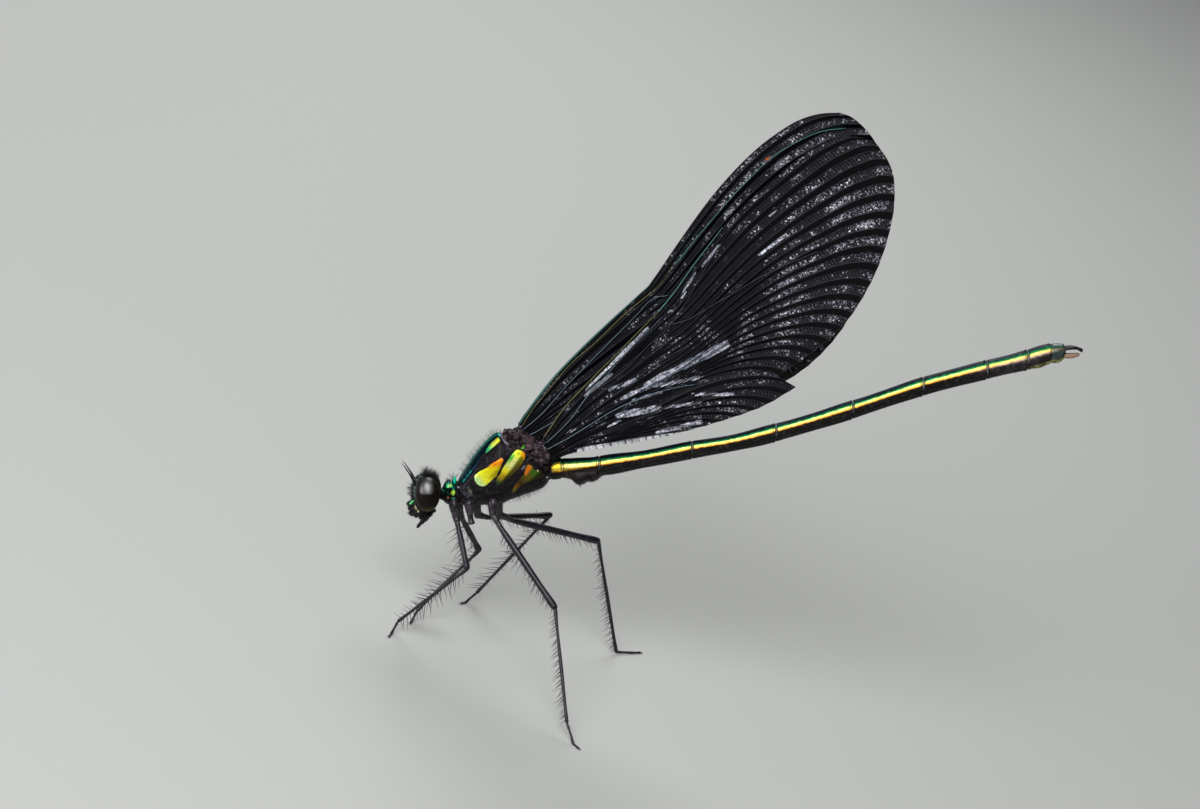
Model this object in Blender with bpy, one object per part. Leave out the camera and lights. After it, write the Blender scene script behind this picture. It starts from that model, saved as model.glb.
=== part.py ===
"""A male black-winged damselfly, life size, standing on a flat floor.

Every size is in millimetres and in the insect's own frame: +X towards the tail, +Z up in
the middle plane of the body, +Y towards its right side, with the origin inside the thorax
under the wing roots. The stance turns that frame to the floor's frame, whose height 0 is
the floor, and the meshes are written in metres.
"""
import math

import bmesh
import bpy
import numpy as np
from mathutils import Matrix

MM = 0.001

# Stance: the tail end rises, the wings lean over to the right, and the box is centred
PITCH = math.radians(20.0)
LEAN = math.radians(12.0)
BODY_HEIGHT = 14.3
FORWARD = -15.7
SIDEWAYS = 2.4

# Clear space between two pieces that touch in life
GAP = 0.25

# Head: a band wider than long, carried with a slight roll, with an eye at each end
HEAD_CENTRE = (-7.1, 0.0, -1.0)
HEAD_ROLL = math.radians(7.0)
HEAD_BAND = [
    # sideways, forward, upright, half depth, half height
    (-2.35, 0.35, 0.1, 0.70, 0.95),
    (-1.60, 0.12, 0.0, 0.98, 1.25),
    (-0.80, 0.00, 0.0, 1.10, 1.40),
    (0.00, -0.03, 0.0, 1.15, 1.45),
    (0.80, 0.00, 0.0, 1.10, 1.40),
    (1.60, 0.12, 0.0, 0.98, 1.25),
    (2.35, 0.35, 0.1, 0.70, 0.95),
]
EYE_OFFSET = (0.37, 2.2, 0.05)
EYE_RADII = (1.04, 0.98, 1.45)
FACE_LUMPS = [
    # forward, upright, and the three radii of the bulge
    (-0.86, -0.88, 0.66, 1.00, 0.50),
    (-0.70, -1.62, 0.64, 0.92, 0.48),
    (-0.10, -1.95, 0.56, 0.62, 0.75),
    (0.35, -1.20, 0.80, 1.25, 0.80),
]
PALP_ROOT = (-0.25, 0.36, -2.2)
PALP_TIP = (-0.62, 0.20, -2.95)
PALP_RADII = (0.28, 0.12)
ANTENNA_ROOT = (-0.72, 0.95, 0.80)
ANTENNA_BEND = (-1.05, 1.02, 1.45)
ANTENNA_TIP = (-1.85, 1.15, 2.55)
ANTENNA_RADII = (0.27, 0.25, 0.07)

# Prothorax with the neck in front: place along X, bottom, top, half width
PROTHORAX_ROOT = (-4.46, 0.0, -0.9)
PROTHORAX = [
    (-5.78, -1.70, -0.80, 0.42),
    (-5.50, -1.75, -0.72, 0.50),
    (-5.28, -1.98, -0.30, 0.95),
    (-5.05, -2.10, 0.00, 1.15),
    (-4.88, -2.12, -0.10, 1.10),
    (-4.66, -2.12, 0.30, 1.15),
    (-4.46, -2.05, 0.28, 1.00),
]

# Thorax: place along X, bottom, top, half width
THORAX = [
    (-4.20, -2.00, 0.38, 1.15),
    (-3.60, -2.14, 1.20, 1.50),
    (-2.60, -2.10, 2.55, 1.78),
    (-1.50, -2.10, 3.70, 1.92),
    (-0.60, -1.92, 4.25, 1.96),
    (0.60, -1.45, 4.20, 1.92),
    (1.80, -1.02, 3.50, 1.86),
    (2.70, -0.66, 2.85, 1.74),
    (3.22, -0.25, 2.05, 1.45),
]
THORAX_SQUARENESS = 2.3

# Rings along each form and sides round it
HEAD_COUNTS = (11, 14)
LUMP_COUNTS = (7, 12)
EYE_COUNTS = (9, 14)
ANTENNA_COUNTS = (6, 8)
PALP_COUNTS = (3, 6)
PROTHORAX_COUNTS = (9, 12)
THORAX_COUNTS = (15, 18)
ABDOMEN_SIDES = 12
LONG_SEGMENT_RINGS = 6
SHORT_SEGMENT_RINGS = 5
BULGE_COUNTS = (7, 10)
CLASPER_COUNTS = (6, 6)
FEMUR_RINGS = 10
TIBIA_RINGS = 6
FOOT_RINGS = 6
LEG_SIDES = 8

# Abdomen: its middle line in the body's plane, and each segment's end and half heights
ABDOMEN_LINE = [
    (3.2, 0.95), (7.3, 1.20), (11.1, 1.77), (15.0, 2.54), (18.4, 3.14), (21.9, 4.01),
    (28.2, 5.94), (34.0, 7.90), (39.2, 9.30), (42.6, 10.15), (44.4, 10.66), (45.6, 10.84),
]
SEGMENT_ENDS = [3.45, 4.28, 7.34, 14.99, 21.90, 28.20, 33.96, 39.16, 42.50, 44.41, 45.60]
SEGMENT_RADII = [
    # half height at the front, in the middle and at the rear end of each segment
    (0.98, 0.96, 0.86), (0.86, 0.84, 0.82), (0.86, 0.75, 0.77), (0.76, 0.71, 0.78),
    (0.76, 0.74, 0.78), (0.76, 0.74, 0.79), (0.78, 0.78, 0.81), (0.80, 0.79, 0.85),
    (0.85, 0.87, 0.83), (0.80, 0.76, 0.64),
]
GENITAL_BULGE = (6.0, 0.15, 2.5, 0.55, 0.72)
CLASPER_UPPER = [(45.45, 0.50, 11.10), (46.20, 0.62, 11.25), (46.75, 0.42, 11.20), (47.05, 0.12, 11.00)]
CLASPER_UPPER_RADII = (0.27, 0.25, 0.20, 0.10)
CLASPER_LOWER = [(45.40, 0.34, 10.50), (46.10, 0.42, 10.48), (46.80, 0.30, 10.62)]
CLASPER_LOWER_RADII = (0.26, 0.22, 0.10)

# Legs: where the coxa starts inside the body, the trochanter, the knee, the ankle, the foot's
# tip, and for the femur and the tibia how far the pair of spine rows is turned from the leg's
# inner side and how far each row stands to the side of that, in degrees
LEGS = {
    "front_left": {
        "coxa": (-4.65, -0.75, -1.60), "trochanter": (-4.40, -1.10, -3.05),
        "knee": (-3.50, -3.20, -6.75), "ankle": (-9.25, -1.65, -11.60),
        "tip": (-9.95, -3.05, -12.50), "femur_rows": (0, 30), "tibia_rows": (90, 68)},
    "front_right": {
        "coxa": (-4.45, 0.80, -1.80), "trochanter": (-4.10, 1.20, -3.35),
        "knee": (-2.60, 3.70, -6.90), "ankle": (-7.75, 1.30, -11.45),
        "tip": (-8.30, 0.50, -12.32), "femur_rows": (0, 40), "tibia_rows": (90, 68)},
    "middle_right": {
        "coxa": (-2.95, 1.05, -1.70), "trochanter": (-2.65, 1.50, -3.55),
        "knee": (3.40, 5.70, -4.35), "ankle": (-2.90, 7.95, -11.70),
        "tip": (-4.15, 6.95, -12.30), "femur_rows": (0, 40), "tibia_rows": (90, 68)},
    "hind_left": {
        "coxa": (-1.40, -1.15, -1.40), "trochanter": (-1.40, -1.60, -2.70),
        "knee": (3.70, -5.00, -9.60), "ankle": (4.65, -9.40, -18.05),
        "tip": (5.60, -10.55, -19.85), "femur_rows": (0, 35), "tibia_rows": (0, 35)},
    "hind_right": {
        "coxa": (-1.15, 1.15, -1.60), "trochanter": (-0.85, 1.60, -3.55),
        "knee": (7.40, 5.70, -6.60), "ankle": (9.00, 7.70, -16.85),
        "tip": (11.15, 9.40, -17.38), "femur_rows": (0, 35), "tibia_rows": (0, 35)},
}
STUB = ((-3.35, -1.05, -1.50), (-3.30, -1.40, -2.50), (-3.15, -1.60, -3.40))
COXA_RADIUS = 0.42
TROCHANTER_RADIUS = 0.32
FEMUR_RADIUS = 0.29
TIBIA_RADIUS = 0.25
FOOT_RADIUS = 0.25
FOOT_TIP_RADIUS = 0.18
FOOT_HEIGHT = 0.11
FOOT_ON_FLOOR = 0.30
HIP_SHARE = 0.12

# Spines on the legs: two rows on the inner side of each femur and tibia
SPINE_SPACING = 1.3
SPINE_LENGTH = 1.35
SPINE_RADIUS = 0.23
SPINE_TIP_RADIUS = 0.05
SPINE_SWEEP = math.radians(32.0)
FLOOR_CLEARANCE = 0.15
FEMUR_SPINES_SPAN = (0.22, 0.93)
TIBIA_SPINES_SPAN = (0.12, 0.95)

# Wings: planes beside the middle plane, thickness, raised veins and how many lines they have
WING_PLANES = {"forewing_left": -0.435, "forewing_right": 0.435,
               "hindwing_left": -1.305, "hindwing_right": 1.305}
MEMBRANE_HALF = 0.22
VEIN_HALF = 0.31
WING_LINES = 25
WING_STATIONS = 14
VEINS_START = 0.10
VEINS_RISE = 0.28
VEIN_BOW = 0.10
FAR_WING_DROP = math.radians(0.4)

# Wing outlines in the body's plane, as places along X and Z
FOREWING = {
    "leading": [(0.4, 3.6), (0.9, 5.1), (2.4, 7.3), (6.8, 12.2), (11.3, 16.5), (15.2, 21.8),
                (21.3, 28.6), (24.6, 30.4), (27.2, 30.5)],
    "margin": [[(27.2, 30.5), (29.4, 28.5), (30.3, 25.4), (29.8, 21.6), (28.1, 18.2),
                (25.9, 15.5), (23.0, 13.2), (19.0, 10.8), (14.0, 8.3)]],
    "anal": [(1.6, 3.3), (4.5, 4.9), (9.0, 6.5), (14.0, 8.3)],
}
HINDWING = {
    "leading": [(2.1, 2.0), (2.7, 3.5), (3.9, 5.4), (7.4, 9.4), (11.8, 14.3), (17.2, 20.9),
                (21.5, 25.4), (25.1, 28.1), (27.5, 28.8)],
    "margin": [[(27.5, 28.8), (29.7, 28.1), (30.9, 26.2), (31.2, 23.6), (30.8, 20.8),
                (29.1, 16.2), (27.0, 13.0), (24.2, 10.6), (21.9, 9.0)],
               [(21.9, 9.0), (23.4, 8.1)],
               [(23.4, 8.1), (20.9, 6.6), (17.4, 5.3), (13.2, 4.1)]],
    "anal": [(3.1, 1.5), (4.3, 2.3), (6.8, 2.9), (10.7, 3.6), (13.2, 4.1)],
}
HINDWING_SMOOTH = {
    "leading": HINDWING["leading"],
    "margin": [[(27.5, 28.8), (29.7, 28.0), (30.8, 26.0), (31.0, 23.4), (30.6, 20.2),
                (29.0, 15.7), (27.0, 12.0), (24.6, 9.4), (21.6, 7.4), (17.4, 5.5),
                (13.2, 4.2)]],
    "anal": HINDWING["anal"][:-1] + [(13.2, 4.2)],
}


def clear_scene():
    for obj in list(bpy.data.objects):
        bpy.data.objects.remove(obj, do_unlink=True)


def material(name, colour, roughness, metallic=0.0):
    """A Principled material with a plain colour."""
    result = bpy.data.materials.new(name)
    result.use_nodes = True
    shader = result.node_tree.nodes["Principled BSDF"]
    shader.inputs["Base Color"].default_value = (*colour, 1.0)
    shader.inputs["Roughness"].default_value = roughness
    shader.inputs["Metallic"].default_value = metallic
    return result


def smooth(stations, count, measured=3):
    """Rows at even distances on a cubic curve through the stations.

    Distance is measured over the first columns only, so radii can ride along in the rest.
    """
    rows = np.asarray(stations, float)
    steps = np.linalg.norm(np.diff(rows[:, :measured], axis=0), axis=1)
    along = np.concatenate(([0.0], np.cumsum(steps)))
    slopes = np.gradient(rows, along, axis=0)
    at = np.linspace(0.0, along[-1], count)
    left = np.clip(np.searchsorted(along, at, side="right") - 1, 0, len(along) - 2)
    span = (along[left + 1] - along[left])[:, None]
    t = (at - along[left])[:, None] / span
    start = (1 + 2 * t) * (1 - t) ** 2 * rows[left] + t * (1 - t) ** 2 * span * slopes[left]
    end = t * t * (3 - 2 * t) * rows[left + 1] + t * t * (t - 1) * span * slopes[left + 1]
    return start + end


def unit(vector):
    vector = np.asarray(vector, float)
    return vector / np.linalg.norm(vector, axis=-1, keepdims=True)


def ring_faces(rings, sides):
    """Side quads between rings and a fan to a middle point at each end."""
    faces = []
    for ring in range(rings - 1):
        for side in range(sides):
            a = ring * sides + side
            b = ring * sides + (side + 1) % sides
            faces.append((a, b, b + sides, a + sides))
    first_pole = rings * sides
    last_ring = (rings - 1) * sides
    for side in range(sides):
        following = (side + 1) % sides
        faces.append((first_pole, following, side))
        faces.append((first_pole + 1, last_ring + side, last_ring + following))
    return faces


def tube(centres, half_widths, half_heights, sides, across=(0.0, 1.0, 0.0), squareness=2.0):
    """Oval rings along a path: centre + width * across + height * up, closed at both ends."""
    centres = np.asarray(centres, float)
    tangents = unit(np.gradient(centres, axis=0))
    hint = np.broadcast_to(np.asarray(across, float), tangents.shape)
    across = unit(hint - (hint * tangents).sum(1, keepdims=True) * tangents)
    up = np.cross(tangents, across)
    angles = np.linspace(0.0, 2.0 * math.pi, sides, endpoint=False)
    power = 2.0 / squareness
    wide = np.sign(np.cos(angles)) * np.abs(np.cos(angles)) ** power
    high = np.sign(np.sin(angles)) * np.abs(np.sin(angles)) ** power
    sideways = across[:, None] * (np.asarray(half_widths)[:, None] * wide)[..., None]
    upright = up[:, None] * (np.asarray(half_heights)[:, None] * high)[..., None]
    rings = centres[:, None] + sideways + upright
    points = np.concatenate([rings.reshape(-1, 3), centres[:1], centres[-1:]])
    return points, ring_faces(len(centres), sides)


def upright_tube(stations, count, sides, grow=0.0, squareness=2.0):
    """Rings in planes across X, from rows of place, bottom, top and half width."""
    rows = smooth(stations, count, measured=1)
    place, bottom, top, half_width = rows.T
    place = place + grow * np.linspace(-1.0, 1.0, count)
    middle = 0.5 * (bottom + top)
    centres = np.stack([place, 0.0 * place, middle], axis=1)
    angles = np.linspace(0.0, 2.0 * math.pi, sides, endpoint=False)
    power = 2.0 / squareness
    wide = np.sign(np.cos(angles)) * np.abs(np.cos(angles)) ** power
    high = np.sign(np.sin(angles)) * np.abs(np.sin(angles)) ** power
    rings = np.repeat(centres[:, None], sides, axis=1)
    rings[..., 1] += (half_width + grow)[:, None] * wide
    rings[..., 2] += (0.5 * (top - bottom) + grow)[:, None] * high
    points = np.concatenate([rings.reshape(-1, 3), centres[:1], centres[-1:]])
    return points, ring_faces(count, sides)


def stance():
    """Turn and move from the insect's frame in millimetres to the floor's in metres."""
    turn = Matrix.Rotation(-LEAN, 4, "X") @ Matrix.Rotation(-PITCH, 4, "Y")
    move = Matrix.Translation((FORWARD, SIDEWAYS, BODY_HEIGHT))
    return np.array(Matrix.Scale(MM, 4) @ move @ turn)


def to_floor_frame(points):
    matrix = stance()
    return np.asarray(points, float) @ matrix[:3, :3].T + matrix[:3, 3]


def to_insect_frame(points):
    matrix = np.linalg.inv(stance())
    return np.asarray(points, float) @ matrix[:3, :3].T + matrix[:3, 3]


def solid(name, form, finish=None, root=None, on_floor=False):
    """An object from points in the insect's frame, with its origin at its root.

    A foot is flattened where it meets the floor.
    """
    points, faces = form
    points = to_floor_frame(points)
    if on_floor:
        points[:, 2] = np.maximum(points[:, 2], 0.0)
    origin = np.zeros(3) if root is None else to_floor_frame(root)
    mesh = bpy.data.meshes.new(name)
    mesh.from_pydata((points - origin).tolist(), [], faces)
    shape = bmesh.new()
    shape.from_mesh(mesh)
    bmesh.ops.recalc_face_normals(shape, faces=shape.faces)
    shape.to_mesh(mesh)
    shape.free()
    if finish:
        mesh.materials.append(finish)
    obj = bpy.data.objects.new(name, mesh)
    obj.location = origin
    bpy.context.scene.collection.objects.link(obj)
    return obj


def apply_modifiers(obj):
    """Replace the mesh by what its modifiers make of it."""
    bpy.context.view_layer.update()
    evaluated = obj.evaluated_get(bpy.context.evaluated_depsgraph_get())
    mesh = bpy.data.meshes.new_from_object(evaluated)
    obj.modifiers.clear()
    obj.data = mesh


def keep_largest(obj):
    """Drop every loose surface but the one with the most faces."""
    shape = bmesh.new()
    shape.from_mesh(obj.data)
    left = set(shape.faces)
    surfaces = []
    while left:
        surface = {left.pop()}
        edge_of_search = list(surface)
        while edge_of_search:
            face = edge_of_search.pop()
            for edge in face.edges:
                for neighbour in edge.link_faces:
                    if neighbour in left:
                        left.remove(neighbour)
                        surface.add(neighbour)
                        edge_of_search.append(neighbour)
        surfaces.append(surface)
    surfaces.sort(key=len)
    for surface in surfaces[:-1]:
        bmesh.ops.delete(shape, geom=list(surface), context="FACES")
    shape.to_mesh(obj.data)
    shape.free()


def cut(obj, cutters):
    """Take each cutter away from the object, and keep one closed surface."""
    for cutter in cutters:
        cutter.hide_render = True
        cutter.display_type = "WIRE"
        boolean = obj.modifiers.new("clearance", "BOOLEAN")
        boolean.operation = "DIFFERENCE"
        boolean.object = cutter
    apply_modifiers(obj)
    for cutter in cutters:
        bpy.data.objects.remove(cutter, do_unlink=True)
    keep_largest(obj)


def fuse(obj, pieces, solver="EXACT"):
    """Join closed pieces to the object in one union."""
    group = bpy.data.collections.new(obj.name + "_pieces")
    bpy.context.scene.collection.children.link(group)
    for piece in pieces:
        bpy.context.scene.collection.objects.unlink(piece)
        group.objects.link(piece)
    boolean = obj.modifiers.new("union", "BOOLEAN")
    boolean.solver = solver
    boolean.operation = "UNION"
    boolean.operand_type = "COLLECTION"
    boolean.collection = group
    apply_modifiers(obj)
    for piece in pieces:
        bpy.data.objects.remove(piece, do_unlink=True)
    bpy.data.collections.remove(group)
    keep_largest(obj)


def ellipsoid(centre, radii, rings, sides):
    """A ball stretched along the three axes, its poles fore and aft."""
    angles = np.linspace(0.0, math.pi, rings + 2)[1:-1]
    place = centre[0] - radii[0] * np.cos(angles)
    centres = np.stack([place, np.full(rings, centre[1]), np.full(rings, centre[2])], axis=1)
    turn = np.linspace(0.0, 2.0 * math.pi, sides, endpoint=False)
    points = np.repeat(centres[:, None], sides, axis=1)
    points[..., 1] += radii[1] * np.sin(angles)[:, None] * np.cos(turn)
    points[..., 2] += radii[2] * np.sin(angles)[:, None] * np.sin(turn)
    poles = np.array(centre) + [[-radii[0], 0.0, 0.0], [radii[0], 0.0, 0.0]]
    return np.concatenate([points.reshape(-1, 3), poles]), ring_faces(rings, sides)


def roll_head(form):
    """Points given from the head's centre, rolled about the body's length and set in place."""
    points, faces = form
    turn = np.array(Matrix.Rotation(-HEAD_ROLL, 3, "X"))
    return points @ turn.T + HEAD_CENTRE, faces


def mirrored(point, side):
    return (point[0], side * point[1], point[2])


def head_band(grow=0.0):
    rings, sides = HEAD_COUNTS
    rows = smooth(HEAD_BAND, rings, measured=1)
    centres = np.stack([rows[:, 1], rows[:, 0], rows[:, 2]], axis=1)
    return tube(centres, rows[:, 3] + grow, rows[:, 4] + grow, sides, across=(1.0, 0.0, 0.0))


def eye_form(side, grow=0.0):
    centre = mirrored(EYE_OFFSET, side)
    return ellipsoid(centre, np.array(EYE_RADII) + grow, *EYE_COUNTS)


def make_head(finish):
    """The band between the eyes with the face, jaws and palps, and a socket for each eye."""
    head = solid("head", roll_head(head_band()), finish, HEAD_CENTRE)
    pieces = []
    for forward, upright, *radii in FACE_LUMPS:
        lump = ellipsoid((forward, 0.0, upright), radii, *LUMP_COUNTS)
        pieces.append(solid("face_lump", roll_head(lump)))
    for side in (-1, 1):
        rings, sides = PALP_COUNTS
        path = smooth([mirrored(PALP_ROOT, side), mirrored(PALP_TIP, side)], rings)
        radii = np.linspace(*PALP_RADII, rings)
        palp = tube(path, radii, radii, sides, across=(1.0, 0.0, 0.0))
        pieces.append(solid("palp", roll_head(palp)))
    fuse(head, pieces)
    cut(head, [solid("socket", roll_head(eye_form(side, GAP))) for side in (-1, 1)])
    return head


def make_eye(name, side, finish):
    return solid(name, roll_head(eye_form(side)), finish, HEAD_CENTRE)


def make_antenna(name, side, finish):
    """A tapering feeler whose thick base stands just clear of the head."""
    rings, sides = ANTENNA_COUNTS
    stations = (ANTENNA_ROOT, ANTENNA_BEND, ANTENNA_TIP)
    path = smooth([mirrored(point, side) for point in stations], rings)
    radii = np.interp(np.linspace(0.0, 1.0, rings), (0.0, 0.3, 1.0), ANTENNA_RADII)
    feeler = roll_head(tube(path, radii, radii, sides, across=(1.0, 0.0, 0.0)))
    antenna = solid(name, feeler, finish, HEAD_CENTRE)
    cut(antenna, [solid("head_clearance", roll_head(head_band(GAP))),
                  solid("eye_clearance", roll_head(eye_form(side, GAP)))])
    return antenna


def prothorax_form(grow=0.0):
    return upright_tube(PROTHORAX, *PROTHORAX_COUNTS, grow)


def thorax_form(grow=0.0):
    return upright_tube(THORAX, *THORAX_COUNTS, grow, THORAX_SQUARENESS)


def body_clearance():
    """The thorax and prothorax grown by the gap, to cut what grows from them."""
    return [solid("thorax_clearance", thorax_form(GAP)),
            solid("prothorax_clearance", prothorax_form(GAP))]


def make_abdomen_segment(index, finish):
    """One ring of the abdomen, a little wider at its hind end."""
    line = smooth(ABDOMEN_LINE, 240, measured=2)
    start = SEGMENT_ENDS[index] + 0.5 * GAP * (index > 0)
    end = SEGMENT_ENDS[index + 1] - 0.5 * GAP
    rings = SHORT_SEGMENT_RINGS if index < 2 or index > 6 else LONG_SEGMENT_RINGS
    place = np.linspace(start, end, rings)
    height = np.interp(place, line[:, 0], line[:, 1])
    share = np.linspace(0.0, 1.0, rings)
    radii = np.interp(share, (0.0, 0.5, 1.0), SEGMENT_RADII[index])
    centres = np.stack([place, np.zeros(rings), height], axis=1)
    form = tube(centres, radii, radii, ABDOMEN_SIDES)
    return solid(f"abdomen_{index + 1}", form, finish, centres[0])


def clasper(points, radii, side):
    rings, sides = CLASPER_COUNTS
    path = smooth([mirrored(point, side) for point in points], rings)
    width = np.interp(np.linspace(0.0, 1.0, rings), np.linspace(0.0, 1.0, len(radii)), radii)
    return solid("clasper", tube(path, width, width, sides, across=(0.0, 0.0, 1.0)))


def make_abdomen(finish):
    """Ten segments, with the bulge under the second and the claspers on the last."""
    segments = [make_abdomen_segment(index, finish) for index in range(10)]
    place, height, length, half_width, depth = GENITAL_BULGE
    bulge = ellipsoid((place, 0.0, height), (0.5 * length, half_width, depth), *BULGE_COUNTS)
    fuse(segments[1], [solid("bulge", bulge)])
    claspers = []
    for side in (-1, 1):
        claspers.append(clasper(CLASPER_UPPER, CLASPER_UPPER_RADII, side))
        claspers.append(clasper(CLASPER_LOWER, CLASPER_LOWER_RADII, side))
    fuse(segments[9], claspers)
    return segments


def leg_piece(points, radii, rings, grow=0.0):
    """A round tube through the points, with its radii shared out along it."""
    path = smooth(points, rings)
    corners = np.asarray(points, float)
    steps = np.linalg.norm(np.diff(corners, axis=0), axis=1)
    along = np.concatenate(([0.0], np.cumsum(steps)))
    width = np.interp(np.linspace(0.0, along[-1], rings), along, radii) + grow
    return tube(path, width, width, LEG_SIDES)


def femur_form(leg, grow=0.0):
    hip = np.add(leg["trochanter"], HIP_SHARE * np.subtract(leg["knee"], leg["trochanter"]))
    radii = (COXA_RADIUS, TROCHANTER_RADIUS, FEMUR_RADIUS, FEMUR_RADIUS)
    points = (leg["coxa"], leg["trochanter"], hip, leg["knee"])
    return leg_piece(points, radii, FEMUR_RINGS, grow)


def tibia_form(leg, grow=0.0):
    return leg_piece((leg["knee"], leg["ankle"]), (TIBIA_RADIUS, TIBIA_RADIUS), TIBIA_RINGS, grow)


def spine_reach(root, direction):
    """The spine's length, less where its tip would come near the floor."""
    heights = to_floor_frame([root, root + SPINE_LENGTH * direction])[:, 2] / MM
    if heights[1] >= FLOOR_CLEARANCE:
        return SPINE_LENGTH
    return SPINE_LENGTH * (heights[0] - FLOOR_CLEARANCE) / (heights[0] - heights[1])


def spine(root, direction):
    """A straight four-sided thorn whose root is sunk in the leg."""
    path = root + np.outer((0.0, spine_reach(root, direction)), direction)
    radii = (SPINE_RADIUS, SPINE_TIP_RADIUS)
    return solid("spine", tube(path, radii, radii, 4, across=(0.31, 0.87, 0.38)))


def spine_rows(start, end, inner, rows, span):
    """Thorns in two rows that lean towards the foot, between two shares of the length."""
    first, last = span
    start = np.asarray(start, float)
    end = np.asarray(end, float)
    length = np.linalg.norm(end - start)
    along = unit(end - start)
    inner = unit(inner - (inner @ along) * along)
    aside = np.cross(along, inner)
    count = int(length * (last - first) / SPINE_SPACING) + 1
    pieces = []
    for row in (-1, 1):
        angle = math.radians(rows[0] + row * rows[1])
        outward = math.cos(angle) * inner + math.sin(angle) * aside
        direction = math.cos(SPINE_SWEEP) * outward + math.sin(SPINE_SWEEP) * along
        for place in range(count):
            share = first + (last - first) * (place + 0.25 * (1 + row)) / count
            pieces.append(spine(start + share * length * along, direction))
    return pieces


def foot_form(leg):
    """A tapering tube whose last stretch lies along the floor."""
    ankle, tip = to_floor_frame([leg["ankle"], leg["tip"]])
    tip[2] = FOOT_HEIGHT * MM
    toe = tip + FOOT_ON_FLOOR * (ankle - tip)
    toe[2] = FOOT_HEIGHT * MM
    points = to_insect_frame([ankle, toe, tip])
    return leg_piece(points, (FOOT_RADIUS, FOOT_RADIUS, FOOT_TIP_RADIUS), FOOT_RINGS)


def make_leg(name, leg, finish):
    """Femur with its hip, tibia and foot, each cut clear of the piece before it."""
    femur = solid(f"leg_{name}_femur", femur_form(leg), finish, leg["coxa"])
    cut(femur, body_clearance())
    tibia = solid(f"leg_{name}_tibia", tibia_form(leg), finish, leg["knee"])
    cut(tibia, [solid("knee_clearance", femur_form(leg, GAP))])
    foot = solid(f"leg_{name}_tarsus", foot_form(leg), finish, leg["ankle"], on_floor=True)
    cut(foot, [solid("ankle_clearance", tibia_form(leg, GAP))])
    to_ankle = np.subtract(leg["ankle"], leg["knee"])
    to_hip = np.subtract(leg["trochanter"], leg["knee"])
    thorns = spine_rows(leg["trochanter"], leg["knee"], to_ankle,
                        leg["femur_rows"], FEMUR_SPINES_SPAN)
    fuse(femur, thorns, solver="MANIFOLD")
    thorns = spine_rows(leg["knee"], leg["ankle"], to_hip,
                        leg["tibia_rows"], TIBIA_SPINES_SPAN)
    fuse(tibia, thorns, solver="MANIFOLD")
    return femur, tibia, foot


def make_stub(finish):
    """The coxa and trochanter of the middle left leg, which ends there."""
    radii = (COXA_RADIUS, TROCHANTER_RADIUS, 0.8 * TROCHANTER_RADIUS)
    stub = solid("leg_middle_left", leg_piece(STUB, radii, FOOT_RINGS), finish, STUB[0])
    cut(stub, body_clearance())
    return stub


def shared_lines(parts, total):
    """Points over the parts of a margin, each part with its share of the lines."""
    lengths = [np.linalg.norm(np.diff(np.asarray(part), axis=0), axis=1).sum() for part in parts]
    steps = [max(1, round((total - 1) * length / sum(lengths))) for length in lengths]
    steps[0] += total - 1 - sum(steps)
    sampled = [smooth(part, count + 1, measured=2) for part, count in zip(parts, steps)]
    return np.concatenate([sampled[0]] + [piece[1:] for piece in sampled[1:]])


def wing_grid(outline):
    """A patch blended between the four edges, its lines drawn towards the leading edge.

    Lines run from the root to the outer margin, as the main veins do, and stations count
    along each line. The factor 16 makes the bow's peak, half way along and across, one.
    """
    leading = smooth(outline["leading"], WING_STATIONS, measured=2)
    anal = smooth(outline["anal"], WING_STATIONS, measured=2)
    margin = shared_lines(outline["margin"], WING_LINES)
    u = np.linspace(0.0, 1.0, WING_STATIONS)[None, :, None]
    v = np.linspace(0.0, 1.0, WING_LINES)[:, None, None]
    root = leading[0] + (anal[0] - leading[0]) * v
    corners = (1 - u) * root + u * (leading[-1] + (anal[-1] - leading[-1]) * v)
    edges = (1 - v) * leading + v * anal
    ends = (1 - u) * root + u * margin[:, None]
    grid = edges + ends - corners
    bow = VEIN_BOW * 16.0 * u * (1 - u) * v * (1 - v)
    return grid + bow * (leading - anal)


def turn_about(points, pivot, angle):
    """Turn points of the body's plane about a pivot."""
    offset = points - pivot
    turned = np.stack([offset[..., 0] * math.cos(angle) - offset[..., 1] * math.sin(angle),
                       offset[..., 0] * math.sin(angle) + offset[..., 1] * math.cos(angle)], axis=-1)
    return pivot + turned


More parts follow.
